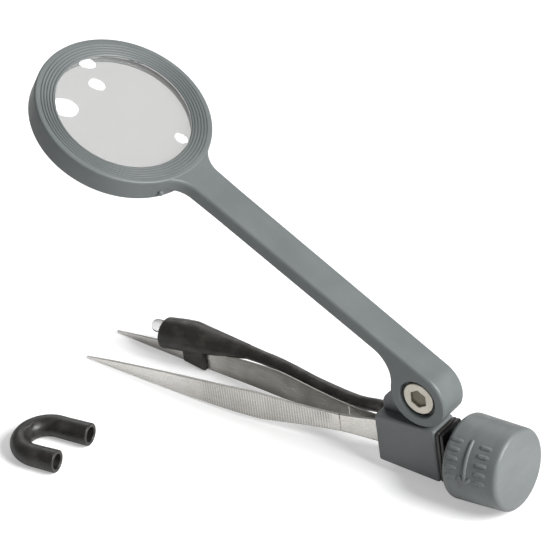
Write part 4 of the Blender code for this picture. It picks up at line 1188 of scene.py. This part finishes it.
def build_lead():
    """Sleeved lead, outside the far blade and down to the housing."""
    path = curve_through([[part * MM for part in knot] for knot in SLEEVE_KNOTS], 14)
    radii = []
    for point in path:
        wobble = SLEEVE_WOBBLE * noise.noise(point * 180)
        join = max(0.0, 1 - (point.x - path[0].x) / SLEEVE_FLARE_LENGTH)
        radii.append(SLEEVE_RADIUS + wobble + SLEEVE_FLARE * join)
    sleeve = as_object("lead_sleeve", swept(path, radii), TONGS)
    finish_piece(sleeve, None, MATERIALS["rubber"], "lead_sleeve_front", "lead_sleeve_rear",
                 slot="black_rubber")
    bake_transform(sleeve)


# ---- tip guard

def build_guard():
    """U of soft tube on the floor, thinner round the bend, with a socket in each arm.

    A point's height is also the tube's radius there, so that the tube rests on the floor.
    """
    path = []
    for i in range(9):
        swell = max(0.0, 1 - i / 6)
        path.append((GUARD_NEAR_ARM * (1 - i / 8), -GUARD_SPACING,
                     between(GUARD_TUBE, GUARD_END, swell)))
    for i in range(1, 36):
        angle = math.pi * i / 36
        path.append((-GUARD_SPACING * math.sin(angle), -GUARD_SPACING * math.cos(angle),
                     between(GUARD_TUBE, GUARD_BEND, math.sin(angle))))
    for i in range(9):
        swell = max(0.0, (i - 2) / 6)
        path.append((GUARD_FAR_ARM * i / 8, GUARD_SPACING, between(GUARD_TUBE, GUARD_END, swell)))
    guard = swept([Vector(point) for point in path], [point[2] for point in path], 48)
    guard = as_object("guard", guard, GUARD)
    for side, arm in ((-1, GUARD_NEAR_ARM), (1, GUARD_FAR_ARM)):
        at = (0, side * GUARD_SPACING, GUARD_END)
        combine(guard, rod(GUARD_SOCKET, arm - GUARD_SOCKET_DEPTH, arm + OVERSHOOT, "X", at),
                "DIFFERENCE")
    round_edges(guard, GUARD_EDGE, 4, 50)
    finish_piece(guard, "guard", MATERIALS["tube"], "tip_guard", sharp=50, slot="black_rubber")


# ---- parts kept from the frame

def paint_kept_nodes():
    kept = {
        "steel": ("root_pin_front", "root_pin_rear", "battery_cell_1", "battery_cell_2",
                  "battery_cell_3", "spring_plate", "contact_spring"),
        "brass": ("pivot_bush", "lead_wire", "contact_pin"),
        "white": ("friction_washer_near", "friction_washer_far", "cell_sleeve"),
        "black": ("blade_spacer",),
    }
    for material, names in kept.items():
        for name in names:
            item = frame["nodes"][name]
            item.data.materials.clear()
            item.data.materials.append(MATERIALS[material])


# ---- stage

def build_floor():
    mesh = bmesh.new()
    bmesh.ops.create_grid(mesh, x_segments=2, y_segments=2, size=FLOOR_SIZE)
    floor = as_object("floor", mesh, Matrix.Translation((0, 0, FLOOR - FLOOR_DROP)))
    material, tree, shader = new_material("floor_paper", 0.9)
    tone = mix_colours(tree, grain(tree, 40, 2), (0.74, 0.74, 0.74), (0.77, 0.77, 0.77))
    rays = add(tree, "ShaderNodeLightPath")
    glow = spread(tree, rays.outputs["Is Camera Ray"], 0.0, 1.0, 0.0, FLOOR_GLOW)
    connect(tree, shader, {"Base Color": tone, "Specular IOR Level": 0.1,
                           "Emission Color": (1.0, 1.0, 1.0, 1.0), "Emission Strength": glow})
    floor.data.materials.append(material)


def area_light(name, at, target, size, power):
    data = bpy.data.lights.new(name, "AREA")
    data.shape = "DISK"
    data.size = size
    data.energy = power
    lamp = new_object(name, data)
    lamp.location = at
    lamp.visible_camera = False
    lamp.rotation_euler = (Vector(target) - Vector(at)).to_track_quat("-Z", "Y").to_euler()


def build_lights():
    world = bpy.data.worlds.new("studio")
    world.use_nodes = True
    connect(world.node_tree, world.node_tree.nodes["Background"],
            {"Color": (1.0, 1.0, 1.0, 1.0), "Strength": WORLD_STRENGTH})
    bpy.context.scene.world = world
    area_light("key", KEY_PLACE, LIGHT_TARGET, KEY_SIZE, KEY_POWER)
    area_light("card", CARD_PLACE, LIGHT_TARGET, CARD_SIZE, CARD_POWER)
    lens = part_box("magnifier_lens")
    lens_middle = (lens[0] + lens[1]) / 2
    for number, (at, size) in enumerate(LENS_LAMPS, 1):
        area_light(f"lens_lamp_{number}", at, lens_middle, size, LENS_LAMP_POWER * size ** 2)
    bpy.context.scene.view_settings.view_transform = "Standard"


def build_camera():
    azimuth, elevation, roll = CAMERA_AZIMUTH, CAMERA_ELEVATION, CAMERA_ROLL
    towards = Vector((math.sin(azimuth) * math.cos(elevation),
                      -math.cos(azimuth) * math.cos(elevation), math.sin(elevation)))
    right = Vector((math.cos(azimuth), math.sin(azimuth), 0))
    up = towards.cross(right)
    right, up = (right * math.cos(roll) + up * math.sin(roll),
                 up * math.cos(roll) - right * math.sin(roll))
    at = towards * CAMERA_DISTANCE + right * CAMERA_RIGHT + up * CAMERA_UP
    data = bpy.data.cameras.new("camera")
    data.lens = CAMERA_LENS
    data.sensor_width = CAMERA_SENSOR
    data.clip_start = 0.01
    data.clip_end = 10.0
    camera = new_object("camera", data)
    turn = Matrix((right, up, towards)).transposed().to_4x4()
    camera.matrix_world = TONGS @ Matrix.Translation(at) @ turn
    bpy.context.scene.camera = camera


build_arm()
build_lens()
build_retainer()
build_screw()
build_nut()
build_housing()
build_neck()
build_cap()
build_blades()
build_pod()
build_bulb()
build_lead()
build_guard()
paint_kept_nodes()
build_floor()
build_lights()
build_camera()
